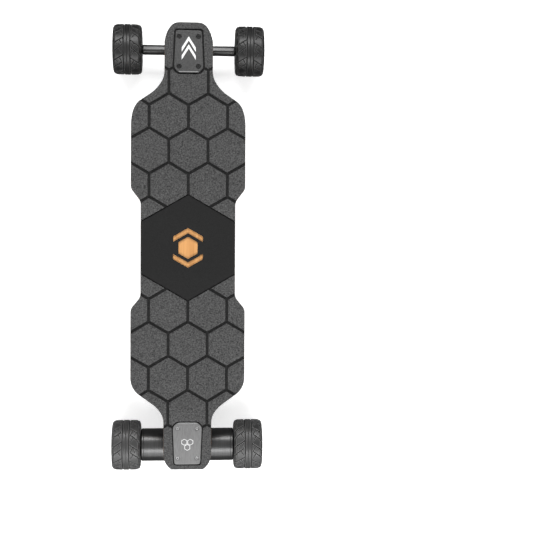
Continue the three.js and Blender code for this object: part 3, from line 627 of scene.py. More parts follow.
def draped(shape):
    """A flat layer, given in heights over the deck's underside, laid over the deck's curves."""
    mesh = as_bmesh(shape)
    for side in (-1, 1):
        for x in range(CONCAVE_START, 122, 6):
            sliced(mesh, (side * x, 0, 0), (1, 0, 0))
        for y in range(NECK_START, 360, 5):
            sliced(mesh, (0, DECK_MIDDLE_Y + side * y, 0), (0, 1, 0))
    for point in mesh.verts:
        point.co.z += UNDERSIDE_Z + rise(point.co.x, point.co.y)
    return from_bmesh(mesh)


BOLT_PATTERN_Y = middle("tail_plate").y * -1
BOLT_X, BOLT_Y = 20.65, 31.75


def bolt_places(end):
    return [(sx * BOLT_X, end * BOLT_PATTERN_Y + sy * BOLT_Y) for sx in (-1, 1) for sy in (-1, 1)]


def plate_outline(end, grow):
    """Wide towards the middle of the board with cut corners, narrower towards its end."""
    inner, outer, half = 31.5 + grow, 28 + grow, 45.25 + grow
    right = [(inner - 10, -half), (inner, -half + 10), (outer, half - 3), (outer - 3, half)]
    points = right + [(-x, y) for x, y in right[::-1]]
    return anticlockwise([(end * x, end * (y + BOLT_PATTERN_Y)) for x, y in rounded(points, 5)])


def panel_outline(grow):
    wide, apex = 140, PANEL_APEX + grow
    side = [(wide, apex - wide * math.tan(math.pi / 6)), (0, apex)]
    up = side + [(-side[0][0], side[0][1])]
    return anticlockwise([(x, y + PANEL_Y) for x, y in up + [(-x, -y) for x, y in up]])


HEX_WIDTH, HEX_PITCH = 84, 73.7
PANEL_APEX = 110.1
GROOVE = 5.8
PANEL_SPREAD = 3.4
TILE_ROUND = 1.0
# Heights over the deck's underside: the film under the emblem, the grips' backing, and the tiles.
FILM = (12.04, 12.24)
BACKING = (12.3, 13.1)
TILE = (12.8, 16)


def hexagon(x, y, width, stretch=1.0):
    """Points at top and bottom, flats at the sides."""
    reach = width / math.sqrt(3)
    return [(x + reach * math.cos(a), y + stretch * reach * math.sin(a))
            for a in (math.pi / 6 + k * math.pi / 3 for k in range(6))]


def beyond_honeycomb(end):
    """Everything inboard of the last row's zigzag."""
    drop = HEX_WIDTH / 2 * math.tan(math.pi / 6)
    top = PANEL_APEX + 4 * HEX_PITCH - HEX_PITCH / 6 + drop / 2
    zigzag = [(k * HEX_WIDTH / 2, top - (drop if k % 2 else 0)) for k in range(-4, 5)]
    points = [(-200, -300), *zigzag, (200, -300)]
    return [(x, end * y + PANEL_Y) for x, y in points]


def add_deck():
    outline = deck_outline()
    holes = [circle(x, y, 3.5) for end in (1, -1) for x, y in bolt_places(end)]
    body = draped(slab(region(outline, outside=holes), 0, DECK_THICK, 3.2, 0.4, 4))
    flat = [f for f in body[1] if all(body[0][i].z - rise(*body[0][i].xy) < UNDERSIDE_Z + 3.3 for i in f)]
    rest = [f for f in body[1] if f not in set(flat)]
    deck = piece("deck_plank", [(BAMBOO, (body[0], rest))], "board", ["deck"])
    mesh = bmesh.new()
    mesh.from_mesh(deck.data)
    mesh.verts.ensure_lookup_table()
    for face in flat:
        made = mesh.faces.new([mesh.verts[i] for i in face])
        made.material_index = 1
        made.smooth = True
    bmesh.ops.recalc_face_normals(mesh, faces=mesh.faces)
    mesh.to_mesh(deck.data)
    mesh.free()
    deck.data.materials.append(DECK_PAINT)
    deck.data.set_sharp_from_angle(angle=math.radians(40))
    heights = [v.co.z - (UNDERSIDE_Z + rise(v.co.x / MM, v.co.y / MM)) * MM for v in deck.data.vertices]
    deck.data.attributes.new("ply_height", "FLOAT", "POINT").data.foreach_set("value", heights)


def add_grip(name, end, plate):
    """Foam tiles in a honeycomb, standing on a thin backing painted dark as the shade in the grooves."""
    outline = inset(deck_outline(), 0.2)
    near, far = (0, 600) if end > 0 else (-600, 0)
    half = [(-200, near), (200, near), (200, far), (-200, far)]
    pocket, panel = plate_outline(end, 0.8), panel_outline(PANEL_SPREAD + 0.6)
    backing = slab(region(outline, [half], [pocket, panel]), *BACKING, 0, 0.2)
    film = slab(region(outline, [half], panel_windows()), *FILM)
    parts = [(FOAM_GROOVE_SHADE, draped(backing)), (FOAM_GROOVE_SHADE, draped(film))]
    tiles = []
    for row in range(5):
        y = PANEL_APEX + HEX_PITCH * (row - 2 / 3)
        first = 0 if row in (0, 2, 4) else HEX_WIDTH / 2
        for k in range(-2, 3):
            x = first + k * HEX_WIDTH
            if abs(x) < 150 and not (row == 0 and x == 0):
                tiles.append(hexagon(x, end * y + PANEL_Y, HEX_WIDTH - GROOVE, HEX_PITCH / 72.75))
    edge = inset(outline, 0.1)
    gap = 3.2 if end > 0 else 2.0
    spare = [plate_outline(end, gap), panel_outline(GROOVE)]
    for tile in tiles:
        loops = region(tile, [edge], spare)
        if loops:
            parts.append((FOAM, draped(slab(loops, *TILE, 0, TILE_ROUND))))
    honeycomb = [(x, y + end * GROOVE / 2) for x, y in beyond_honeycomb(end)]
    border = region(edge, [half], [honeycomb, plate_outline(end, gap)])
    parts.append((FOAM, draped(slab(border, *TILE, 0, TILE_ROUND))))
    piece(name, parts, "board", [plate], 45)


def panel_windows():
    """Two chevrons and a hexagon through which the bamboo shows."""
    chevron = [(0, 43), (32, 24.5), (32, 13), (0, 31.5), (-32, 13), (-32, 24.5)]
    down = [(x, -y) for x, y in chevron]
    return [[(x, y + PANEL_Y) for x, y in rounded(w, 1)] for w in (chevron, down, hexagon(0, 0, 41.6))]


def add_centre_panel():
    loops = region(panel_outline(PANEL_SPREAD), [inset(deck_outline(), 0.3)], panel_windows())
    shape = draped(slab(loops, BACKING[0], TILE[1], 0.2, 1.0))
    piece("centre_panel_foam", [(PANEL_FOAM, shape)], "board", ["centre_panel"], 45)


def socket_screw(x, y, top, radius, deep, socket):
    """A flat-headed screw with a hexagon socket in its head."""
    return lathe([(0, top - 1.6), (socket, top - 1.6, 6), (socket, top, 6), (radius - 0.5, top),
                  (radius, top - 0.5), (radius, top - 2.6), (2.9, top - 3.2), (2.9, deep), (0, deep)],
                 24, (x, y, 0))


def nut(x, y, top, height, across=5.0):
    foot = top - height
    return lathe([(2.5, top), (across - 0.5, top, 6), (across, top - 0.5, 6), (across, foot + 0.5, 6),
                  (across - 0.5, foot, 6), (3.6, foot), (3.3, foot - 1.3), (2.5, foot - 1.3)],
                 24, (x, y, 0))


def add_plate(name, end, finish, head, mark):
    top = low_high(name)[1].z
    holes = [circle(x, y, head + 0.5) for x, y in bolt_places(end)]
    loops = region(plate_outline(end, 0), outside=holes)
    plate = slab(loops, top - 3.7, top - 0.15, 0.2, 0.9)
    parts = [(finish, plate)]
    for loops in mark:
        placed = [[(x, y + end * BOLT_PATTERN_Y) for x, y in loop] for loop in loops]
        parts.append((PAINT_MARK, slab(placed, top - 0.4, top - 0.02)))
    # A bright steel strip along the plate's inboard edge is a painted highlight on its bevel.
    highlight_strip = rounded_rectangle(42, 1.6, 0.7, (0, end * (BOLT_PATTERN_Y - 43.2)))
    parts.append((STEEL, slab([highlight_strip], top - 0.4, top - 0.02)))
    firm(piece(name + "_cover", parts, "board", [name]))
    screws = []
    for x, y in bolt_places(end):
        inboard = abs(y) < BOLT_PATTERN_Y
        seat = 105.1 if inboard else 107.1
        screws.append(socket_screw(x, y, top - 0.7, head, seat - 8.6, head * 0.42))
        screws.append(nut(x, y, seat, 6))
    oxide = BLACK_OXIDE if end > 0 else GREY_OXIDE
    piece(name + "_bolts", [(oxide, joined(screws))], "board", [name])


# ---------------------------------------------------------------- enclosure
FLANGE_THICK = 2.2
WALL_SLOPE = math.radians(17)
WALL_THICK = 2.5
ENCLOSURE_LOW, ENCLOSURE_HIGH = low_high("enclosure")
FLANGE_Z = ENCLOSURE_HIGH.z - FLANGE_THICK
ENCLOSURE_Y = (ENCLOSURE_LOW.y + ENCLOSURE_HIGH.y) / 2
ENCLOSURE_LENGTH = ENCLOSURE_HIGH.y - ENCLOSURE_LOW.y
MIDDLE_LID_Z = ENCLOSURE_LOW.z + 2.5
GROOVES_Y = (137, 51, -34, -120, -204.5)
SCREWS = [(side * 77, y) for side in (-1, 1) for y in (297, 236.5, 179, 80, 8, -92, -191, -241, -307)]


def tray(inward, top, bottom, corner):
    """The enclosure's body: walls that lean in and a rounded turn into the lid."""
    slope = math.tan(WALL_SLOPE)
    levels = [(inward, top), (inward + slope * (FLANGE_Z - bottom - corner), bottom + corner)]
    turn = [Vector(levels[1]), Vector((inward + slope * (FLANGE_Z - bottom), bottom)),
            Vector((inward + slope * (FLANGE_Z - bottom) + corner, bottom))]
    for k in range(1, 10):
        t = k / 9
        levels.append(tuple(turn[0] * (1 - t) ** 2 + turn[1] * 2 * t * (1 - t) + turn[2] * t * t))
    points, faces = [], []
    for shrink, z in levels:
        tail, nose = ENCLOSURE_LOW.y + 8 + shrink, ENCLOSURE_HIGH.y - 2.5 - 0.5 * shrink
        ring = rounded_rectangle(145 - 2 * shrink, nose - tail, 16 - inward, (0, (nose + tail) / 2), 8, 5)
        points += [(x, y, z) for x, y in ring]
    count = len(ring)
    for row in range(len(levels) - 1):
        for i in range(count):
            a, b = row * count + i, row * count + (i + 1) % count
            faces.append((a, b, b + count, a + count))
    faces.append(tuple(range(count)))
    faces.append(tuple(range(len(points) - count, len(points))))
    return points, faces


def wall_place(side, y, z):
    x = side * (72.5 - (FLANGE_Z - z) * math.tan(WALL_SLOPE))
    return Vector((x, y, z)), Vector((side * math.cos(WALL_SLOPE), 0, -math.sin(WALL_SLOPE)))


POWER_PLACE = wall_place(1, -221, 105.5)
CHARGE_PLACE = wall_place(-1, 206, 105.5)


def add_enclosure():
    mesh = as_bmesh(tray(0, FLANGE_Z + 0.6, MIDDLE_LID_Z, 3))
    for y in GROOVES_Y:
        for step in (-2.1, -1.2, 1.2, 2.1):
            sliced(mesh, (0, y + step, 0), (0, 1, 0))
    bmesh.ops.recalc_face_normals(mesh, faces=mesh.faces)
    mesh.normal_update()
    deeper = (FLANGE_Z - ENCLOSURE_LOW.z) / (FLANGE_Z - MIDDLE_LID_Z)
    shifts = []
    for point in mesh.verts:
        normal = Vector((point.normal.x, 0, point.normal.z)).normalized()
        in_groove = any(abs(point.co.y - y) < 1.3 for y in GROOVES_Y) and point.co.z < FLANGE_Z
        at_end = point.co.y > GROOVES_Y[0] or point.co.y < GROOVES_Y[-1]
        lower = (FLANGE_Z - point.co.z) * (1 - deeper) if at_end and point.co.z < FLANGE_Z else 0
        shifts.append(Vector((0, 0, lower)) - (normal * 1.4 if in_groove else Vector()))
    for point, shift in zip(mesh.verts, shifts):
        point.co += shift
    outside = from_bmesh(mesh)
    room = tray(WALL_THICK, FLANGE_Z + 3, MIDDLE_LID_Z + WALL_THICK, 2.5)
    notch = [(0, 80), (6.2, 80), (6.2, FLANGE_Z - 0.02), (0, FLANGE_Z - 0.02)]
    notches = [lathe(notch, 28, (x, y, 0)) for x, y in SCREWS]
    bore = [(0, -8), (8.4, -8), (8.4, 6), (0, 6)]
    bores = [lathe(bore, 40, *place) for place in (POWER_PLACE, CHARGE_PLACE)]
    shell = carved(carved(outside, joined([room, *notches])), joined(bores))
    rim = rounded_rectangle(164, ENCLOSURE_LENGTH, 22, (0, ENCLOSURE_Y), 10, 9)
    opening = rounded_rectangle(139, ENCLOSURE_LENGTH - 22, 14, (0, ENCLOSURE_Y), 8)[::-1]
    flange = slab([rim, opening], FLANGE_Z, FLANGE_Z + FLANGE_THICK, 0.9, 0.3)
    parts = [(SHELL_PLASTIC, shell), (SHELL_PLASTIC, flange)]
    firm(piece("enclosure_shell", parts, "board", ["enclosure"], 12))
    head = [(0, 1.3), (1.5, 1.3, 6), (1.5, 2.7, 6), (2.8, 2.7), (3.9, 2.0), (4.1, 0.9),
            (5.3, 0.7), (5.3, 0.05), (0, 0.05)]
    screws = [lathe(head, 24, (x, y, FLANGE_Z), (0, 0, -1)) for x, y in SCREWS]
    piece("enclosure_screws", [(BLACK_OXIDE, joined(screws))], "board", [])


def add_wall_fittings():
    centre, outward = POWER_PLACE
    ring = turned([(5.9, -6), (5.9, 1.3), (6.6, 1.6), (7.4, 1.6), (8.05, 0.9), (8.05, -6)], 0.3,
                  origin=centre, axis=outward)
    piece("power_button_ring", [(STEEL, ring)], "board", ["power_button_bezel"])
    cap = turned([(0, -4), (5.5, -4), (5.5, 2.2), (4.4, 2.2), (3.8, 1.5), (0, 1.3)], 0.4,
                 origin=centre, axis=outward)
    piece("power_button_cap", [(GLOSS_BLACK, cap)], "power_button", ["power_button"])

    centre, outward = CHARGE_PLACE
    up = Vector((-math.sin(WALL_SLOPE), 0, math.cos(WALL_SLOPE)))
    disc = turned([(0, 1.6), (7.8, 1.6), (7.8, 3.4), (6.9, 4.0), (5.8, 4.0), (5.4, 3.6), (0, 3.6)],
                  0.4, origin=centre, axis=outward)
    hinge = centre + outward * 2.8 + up * 9.6
    pin = turned([(0, -5), (1.2, -5), (1.2, 5), (0, 5)], 0.3, origin=hinge, axis=(0, 1, 0), sides=20)
    strap = slab([rounded_rectangle(5.4, 8, 1)], -1, 1, 0.3, 0.3)
    turn = Matrix((up, Vector((0, 1, 0)), up.cross(Vector((0, 1, 0))))).transposed().to_4x4()
    strap = moved(strap, Matrix.Translation(centre + outward * 2.8 + up * 7.2) @ turn)
    parts = [(TRIM_RUBBER, shape) for shape in (disc, pin, strap)]
    piece("charge_port_flap", parts, "charge_port_cap", ["charge_port_cap"])


# ---------------------------------------------------------------- lamps and risers
def add_lamps():
    bracket = piece("lamp_bracket_moulding", [(BLACK_PLASTIC, cad_shape("lamp_bracket"))], "board",
                    ["lamp_bracket"])
    cast(bracket, 0.8, 4)
    for name in ("left", "right"):
        housing, lens = middle("lamp_housing_" + name), middle("lamp_lens_" + name)
        rear, front = (v.y for v in low_high("lamp_housing_" + name))
        ribs = [(10.4 if k % 2 else 9.8, rear + 8 + 1.4 * k) for k in range(8)]
        barrel = [(0, rear), (8.9, rear), (10.4, rear + 1.5), (10.4, rear + 6), *ribs, (10.4, rear + 20),
                  (10.4, front - 9), (9.8, front - 8.4), (9.8, front - 7.2), (10.4, front - 6.6),
                  (10.4, front), (8.8, front), (8.8, front - 15), (0, front - 15)]
        axis = {"origin": (housing.x, 0, housing.z), "axis": (0, 1, 0)}
        bowl = turned([(8.7, front - 5.2), (8.7, front - 5.8), (3.4, front - 14), (0, front - 14),
                       (0, front - 13.4), (2.8, front - 13.4)], 0.2, **axis)
        body = lathe(rounded(barrel, 0.25, 2, True), 56, **axis)
        piece("lamp_body_" + name, [(BLACK_METAL, body), (REFLECTOR, bowl)], "board",
              ["lamp_housing_" + name])
        glass = turned([(0, -1.75), (8.4, -1.75), (8.4, 0.6), (7.2, 1.2), (4, 1.6), (0, 1.75)], 0.4,
                       origin=tuple(lens), axis=(0, 1, 0))
        piece("lamp_glass_" + name, [(LENS_CLEAR, glass)], "board", ["lamp_lens_" + name])
    place, out = middle("lamp_switch"), Vector((0, -math.cos(math.pi / 6), -math.sin(math.pi / 6)))
    knob = turned([(0, -2.7), (6.5, -2.7), (6.5, 1.9), (5.9, 2.7), (4.6, 2.7), (4.1, 2.2), (0, 1.9)], 0.4,
                  origin=place, axis=out)
    piece("lamp_switch_cap", [(STEEL, knob)], "lamp_switch", ["lamp_switch"])
    riser = piece("rear_riser_pad", [(BLACK_PLASTIC, cad_shape("rear_riser"))], "board",
                  ["rear_riser"])
    cast(riser, 0.8, 4)


# ---------------------------------------------------------------- trucks, in their own frame: +Y outboard
BUSHING_CENTRE = Vector((0, -23, 58))
LEAN = math.radians(20)
KINGPIN_AXIS = Vector((0, -math.sin(LEAN), math.cos(LEAN)))
STEER_AXIS = Vector((0, 32, 30)).normalized()
AXLE_Z = AXLE.z


# Half the front hanger's bar from its outboard side over the top, as distances from the axle: a ridge
# just inboard of the axle and a long facet that leans outboard. The lower half is plainly round.
BAR_SECTION = [(11, 0), (10.2, 5.2), (7.4, 8.3), (-1.5, 11), (-6, 9.4), (-9.6, 5.8), (-11, 0),
               (-10, -6), (-6, -10), (0, -11), (6, -10), (10, -6)]


def in_place(end):
    """From a truck's own frame to the board's."""
    return Matrix.Translation((0, end * AXLE.y, 0)) @ Matrix.Rotation(0 if end > 0 else math.pi, 4, "Z")


def on_kingpin(profile, radius=0.4, sides=48):
    return turned(profile, radius, sides=sides, origin=BUSHING_CENTRE, axis=KINGPIN_AXIS)


def thread(radius, low, high, pitch=1.25):
    turns = int((high - low) / pitch)
    return [(radius - (0.35 if k % 2 else 0), low + k * (high - low) / turns / 2)
            for k in range(2 * turns + 1)]


def add_truck(name, end):
    place = in_place(end)

    def truck_piece(label, finish, shapes, body, nodes):
        parts = [(finish, moved(shape, place)) for shape in shapes]
        return piece(f"{name}_{label}", parts, body, nodes)

    base = piece(f"{name}_baseplate_casting", [(CAST_METAL, cad_shape(f"{name}_baseplate"))], "board",
                 [f"{name}_baseplate"])
    cast(base, 0.8, 5)
    shaft = lathe([(0, -31), (4.2, -31), *thread(4.75, -30, -24), (4.75, -20), (4.75, 50.5), (8.2, 50.5, 6),
                   (8.2, 56, 6), (7.6, 56.5, 6), (0, 56.5)], 36, BUSHING_CENTRE, KINGPIN_AXIS)
    truck_piece("kingpin_bolt", STEEL, [shaft], "board", [f"{name}_kingpin"])
    washer = on_kingpin([(5.3, -18.8), (12.5, -18.8), (12.5, -17), (5.3, -17)], 0.5)
    lock = lathe([(5.3, -18.9), (7.4, -18.9, 6), (8, -19.5, 6), (8, -24.2, 6), (7.4, -24.8, 6), (6.9, -24.9),
                  (6.8, -26.8), (5.3, -27)], 36, BUSHING_CENTRE, KINGPIN_AXIS)
    truck_piece("lock_nut", STEEL, [washer, lock], "board", [f"{name}_kingpin_nut"])
    upper = [(5.3, 6.5), (11, 6.5), (12.1, 10), (12.2, 13.2), (12, 17), (11, 19.9), (5.3, 19.9)]
    lower = [(5.3, -16.6), (9.5, -16.6), (10.3, -14), (11.2, -11.5), (11.6, -9), (12, -6.6),
             (5.3, -6.6)]
    for label, profile, held, pressed in (("upper", upper, 18.5, 7.5), ("lower", lower, -15.2, -7.6)):
        bushing = truck_piece(f"{label}_bushing", URETHANE, [on_kingpin(profile, 1.0)], None,
                              [f"{name}_bushing_{label}"])
        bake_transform(bushing)
    cup = turned([(6.5, 38.5), (9, 38.5), (9, 52.2), (0, 52.2), (0, 50.5), (4.5, 50.5), (6.5, 48.5)], 0.4,
                 origin=BUSHING_CENTRE, axis=STEER_AXIS)
    truck_piece("pivot_bush", URETHANE, [cup], "board", [f"{name}_pivot_cup"])

    body = f"{name}_truck"
    hanger = f"{name}_hanger"
    reach = low_high(hanger)[1].x
    axle = lathe([(0, -reach), *thread(4, -reach + 0.4, -reach + 9, 1.2),
                  *thread(4, reach - 9, reach - 0.4, 1.2), (0, reach)], 32, (0, 0, AXLE_Z), (1, 0, 0))
    truck_piece("axle", STEEL, [axle], body, [hanger])
    if name == "front":
        core = moved(cad_shape(hanger, 22), place.inverted())
        casting = [core]
        for side in (-1, 1):
            section = anticlockwise([(-side * z, y) for y, z in rounded(BAR_SECTION, 2)])
            turn = Matrix.Rotation(side * math.pi / 2, 4, "Y")
            onto_axle = Matrix.Translation((0, 0, AXLE_Z)) @ turn
            casting.append(moved(slab([section], 17, 102, 0, 1.2), onto_axle))
            casting.append(turned([(0, 95), (8, 95), (8, 106), (0, 106)], 0.8,
                                  origin=(0, 0, AXLE_Z), axis=(side, 0, 0)))
            for y in (-4.2, 4.2):
                ridge = slab([rounded_rectangle(62, 1.8, 0.8, (side * 57, y))], 43.9, 47, 0.5, 0)
                casting.append(ridge)
        made = truck_piece("hanger_casting", BLACK_METAL, casting, body, [hanger])
        cast(made, 0.9, 4)
        return
    core = moved(cad_shape(hanger, 28.15), place.inverted())
    made = truck_piece("hanger_casting", BLACK_METAL, [core], body, [hanger])
    cast(made, 0.9, 4)
    clamps = []
    head = [(0, 1.4), (1.7, 1.4, 6), (1.7, 3.2, 6), (2.9, 3.2), (3.4, 2.7), (3.4, -0.5), (0, -0.5)]
    for side in (-1, 1):
        clamps.append(turned([(18.6, 24.4), (19.8, 24.4), (19.8, 28), (18.6, 28)], 0.4, sides=64,
                             origin=(0, 0, AXLE_Z), axis=(side, 0, 0)))
        clamps += [lathe(head, 24, (side * 19.5, y, 45), (0, 0, -1)) for y in (-3, 17)]
    truck_piece("hanger_clamps", STEEL, clamps, body, [hanger])


# ---------------------------------------------------------------- motors and wheels
def add_motor(name, side):
    axis = {"sides": 96, "origin": (0, -AXLE.y, AXLE_Z), "axis": (side, 0, 0)}
    mount = turned([(6.4, 28.5), (22, 28.5), (24.5, 30.2), (34.2, 38.2), (35.2, 39.6), (35.2, 40.9),
                    (29, 40.9), (29, 95), (6.4, 95)], 0.6, **axis)
    bolts = []
    for k in range(4):
        angle = math.pi / 4 + k * math.pi / 2
        spot = Vector((side * 32.6, -AXLE.y + 27 * math.cos(angle), AXLE_Z + 27 * math.sin(angle)))
        facing = Vector((-side, 0.9 * math.cos(angle), 0.9 * math.sin(angle))).normalized()
        head = [(0, 0.6), (1.3, 0.6, 6), (1.3, 2.2, 6), (2.3, 2.2), (2.8, 1.7), (2.8, -1.5), (0, -1.5)]
        bolts.append(lathe(head, 24, spot, facing))
    parts = [(BLACK_METAL, mount), (STEEL, joined(bolts))]
    piece(f"motor_mount_{name}", parts, "rear_truck", [f"motor_stator_{name}"])
    can = turned([(31.5, 41.2), (34, 41.2), (36, 43), (36, 47.2), (35.5, 47.5), (35.5, 48.1),
                  (36, 48.4), (36, 95.4), (35.5, 95.7), (35.5, 96.3), (36, 96.6), (36, 100),
                  (33, 103.1), (7.5, 103.1), (7.5, 98), (31.5, 98)], 0.3, **axis)
    piece(f"motor_shell_{name}", [(ANODISED, can)], f"wheel_rear_{name}", [f"motor_can_{name}"])


TYRE_RADIUS, TYRE_HALF = 55, 31
TREAD_PITCHES = 9
# Slanting grooves in one pitch of the tread: both ends as (round, across) and the width.
TREAD_CUTS = [((0, 8.5), (11, 25), 1.8), ((17, 10.5), (28, 25), 1.8), ((16, 20), (9, 25), 1.1),
              ((5.5, 16), (16, 10.5), 1.2), ((22, 17), (31, 11.5), 1.2), ((28, 25), (36, 30), 1.6),
              ((11, 25), (17, 30), 1.6)]


def near_line(u, v, start, end, pitch, width):
    """How far each point is inside a repeated groove from start to end: 1 in it, 0 beside it."""
    (u0, v0), (u1, v1) = start, end
    du, dv = u1 - u0, v1 - v0
    depth = np.zeros_like(u)
    for turn in (-1, 0, 1):
        pu = u - u0 - turn * pitch
        t = np.clip((pu * du + (v - v0) * dv) / (du * du + dv * dv), 0, 1)
        gap = np.hypot(pu - t * du, v - v0 - t * dv)
        depth = np.maximum(depth, np.clip((width / 2 + 0.35 - gap) / 0.7, 0, 1))
    return depth


def tyre_shape():
    """A ribbed road tread: a split centre rib, side bands of slanting grooves, and rounded shoulders."""
    around = 648
    across = np.linspace(-TYRE_HALF, TYRE_HALF, 121)
    crown = TYRE_RADIUS - 1.1 * (np.abs(across) / TYRE_HALF) ** 2
    shoulder = np.clip((np.abs(across) - 23) / 8, 0, 1)
    crown = crown - 7.5 * (1 - np.sqrt(1 - shoulder ** 2 * 0.985))
    pitch = 2 * math.pi * TYRE_RADIUS / TREAD_PITCHES
    u = (np.arange(around) * 2 * math.pi * TYRE_RADIUS / around)[:, None] % pitch + 0 * across[None, :]
    v = np.abs(across)[None, :] + 0 * u
    u = np.where(across[None, :] < 0, (u + 7) % pitch, u)
    depth = 2.1 * np.clip((1.3 - np.abs(v - 7.4)) / 0.6, 0, 1)
    depth = np.maximum(depth, 0.7 * np.clip((0.7 - v) / 0.5, 0, 1))
    depth = np.maximum(depth, 1.1 * np.clip((0.9 - np.abs(v - 25.2)) / 0.5, 0, 1))
    for start, end, width in TREAD_CUTS:
        depth = np.maximum(depth, 1.7 * near_line(u, v, start, end, pitch, width))
    radii = crown[None, :] - depth
    wall = [(45, 31.0), (44.2, 30.2), (42.5, 30.1), (41.6, 30.7), (39.5, 30.4), (36.9, 29)]
    rings = [np.full((around, 1), r) for r, _ in wall]
    radii = np.concatenate(rings[::-1] + [radii] + rings, axis=1)
    places = np.concatenate([[-x for _, x in wall[::-1]], across, [x for _, x in wall]])
    angles = np.arange(around) * 2 * math.pi / around
    x = np.broadcast_to(places[None, :], radii.shape)
    y = radii * np.cos(angles)[:, None]
    z = radii * np.sin(angles)[:, None]
    points = np.stack([x, y, z], axis=-1).reshape(-1, 3)
    count = len(places)
    faces = []
    for i in range(around):
        n = (i + 1) % around
        for j in range(count):
            k = (j + 1) % count
            faces.append((i * count + j, i * count + k, n * count + k, n * count + j))
    # How deep each point of the tread is sunk, used to paint the grooves dark as shade.
    groove_shade_mask = np.zeros_like(radii)
    groove_shade_mask[:, len(wall):-len(wall)] = np.clip(depth / 1.5, 0, 1)
    return ([Vector(p) for p in points], faces), groove_shade_mask.ravel()


def hub_shape():
    """Five spokes between the rim that holds the tyre and the barrel round the bearings."""
    across = {"axis": (1, 0, 0), "sides": 80}
    rim = turned([(36.5, -28), (36.5, 28), (34.4, 29), (32.5, 28), (32, 22), (32.8, 7), (32.8, -7),
                  (32, -22), (32.5, -28), (34.4, -29)], 0.8, **across)
    barrel = turned([(11.3, -26.5), (15, -26.5), (16.4, -24.5), (16.8, 0), (16.4, 24.5), (15, 26.5),
                     (11.3, 26.5)], 0.6, **across)
    windows = []
    corners = [(19, -0.34), (30.8, -0.42), (31.6, 0), (30.8, 0.42), (19, 0.34)]
    for k in range(5):
        facing = 2 * math.pi * k / 5
        points = [(r * math.cos(facing + a), r * math.sin(facing + a)) for r, a in corners]
        windows.append(rounded(points, 3))
    disc = region(circle(0, 0, 33.2, 80), outside=[circle(0, 0, 15.5, 40), *windows])
    web = slab(disc, -7, 7, 1.2, 1.2)
    turn = Matrix.Rotation(math.pi / 2, 4, "Y")
    ribs = []
    for k in range(5):
        angle = 2 * math.pi * (k + 0.5) / 5
        rib = slab([rounded_rectangle(19, 3.4, 1.2, (24.2, 0))], -19, 19, 1.2, 1.2)
        ribs.append(moved(rib, turn @ Matrix.Rotation(angle, 4, "Z")))
    return joined([rim, barrel, moved(web, turn), *ribs])


def add_wheels():
    tread, groove_shade_mask = tyre_shape()
    core = hub_shape()
    race = [(4.35, 18), (11, 18), (11, 25), (9.6, 25), (9.2, 24.3), (6.6, 24.3), (6.2, 25), (4.35, 25)]
    seal = [(6.3, 23.6), (9.5, 23.6), (9.5, 24.7), (6.3, 24.7)]
    for name in ("front_left", "front_right", "rear_left", "rear_right"):
        centre = middle("tyre_" + name)
        place = Matrix.Translation(centre)
        outward = math.copysign(1, centre.x)
        body, truck = "wheel_" + name, name.split("_")[0] + "_truck"
        rubber = REAR_TYRE_PAINTED_LIGHT if name.startswith("rear") else TYRE
        tyre = piece("tread_" + name, [(rubber, moved(tread, place))], body, ["tyre_" + name],
                     40)
        tyre.data.attributes.new("groove", "FLOAT", "POINT").data.foreach_set("value", groove_shade_mask)
        piece("wheel_core_" + name, [(HUB, moved(core, place))], body, ["hub_" + name])
        races = []
        for side in (-1, 1):
            axis = {"origin": tuple(centre), "axis": (side, 0, 0)}
            races.append((STEEL, turned(race, 0.2, **axis)))
            races.append((TRIM_RUBBER, turned(seal, 0.2, **axis)))
        spacer = turned([(4.35, -18), (6.5, -18), (6.5, 18), (4.35, 18)], 0.2,
                        origin=tuple(centre), axis=(1, 0, 0))
        races.append((STEEL, spacer))
        piece("ball_bearings_" + name, races, body, ["bearings_" + name])
        spot = middle("axle_nut_" + name)
        lock = lathe([(4.3, -2.6), (6.4, -2.6, 6), (6.9, -2.1, 6), (6.9, 0.9, 6), (6.4, 1.4, 6), (5.8, 1.5),
                      (5.6, 2.5), (4.3, 2.6)], 36, tuple(spot), (outward, 0, 0))
        piece("lock_nut_" + name, [(STEEL, lock)], truck, ["axle_nut_" + name])


# ---------------------------------------------------------------- cables
MOTOR_CABLE = [(32, -307.4, 106), (33, -330, 108.5), (37, -362, 112.5), (40, -390, 111),
               (39.5, -407, 98), (36.6, -413.6, 82.4)]
LAMP_CABLE = [(-33, 298.4, 112), (-34, 318, 116), (-36.5, 341, 122), (-38, 360.6, 126.3)]
TAIL_CABLE = [(25, -308.8, 112), (23, -325, 116), (12, -350, 122), (2, -374.2, 124)]


def add_cables():
    for name, side in (("left", -1), ("right", 1)):
        route = [(side * x, y, z) for x, y, z in MOTOR_CABLE]
        heading = (Vector(route[0]) - Vector(route[1])).normalized()
        gland = turned([(4.2, -2), (6.2, -2), (6.2, 2.4), (5.2, 4.4), (4.2, 4.4)], 0.5,
                       origin=Vector(route[0]) - heading * 1.2, axis=-heading)
        sleeve = piece(f"motor_lead_{name}", [(JACKET, tube(route, 4, 24, 12))], None,
                       [f"motor_cable_{name}"])
        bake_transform(sleeve)
        piece(f"motor_lead_gland_{name}", [(TRIM_RUBBER, gland)], "board", [])
    thin = (("lamp_lead", "lamp_cable", LAMP_CABLE), ("tail_lead", "tail_cable", TAIL_CABLE))
    for label, node_name, route in thin:
        piece(label, [(JACKET, tube(route, 1.9, 16, 8))], "board", [node_name])


# ---------------------------------------------------------------- floor and light
def backdrop(name, mesh, finish):
    data = bpy.data.meshes.new(name)
    mesh.to_mesh(data)
    mesh.free()
    made = bpy.data.objects.new(name, data)
    bpy.context.scene.collection.objects.link(made)
    data.materials.append(finish)
    return made


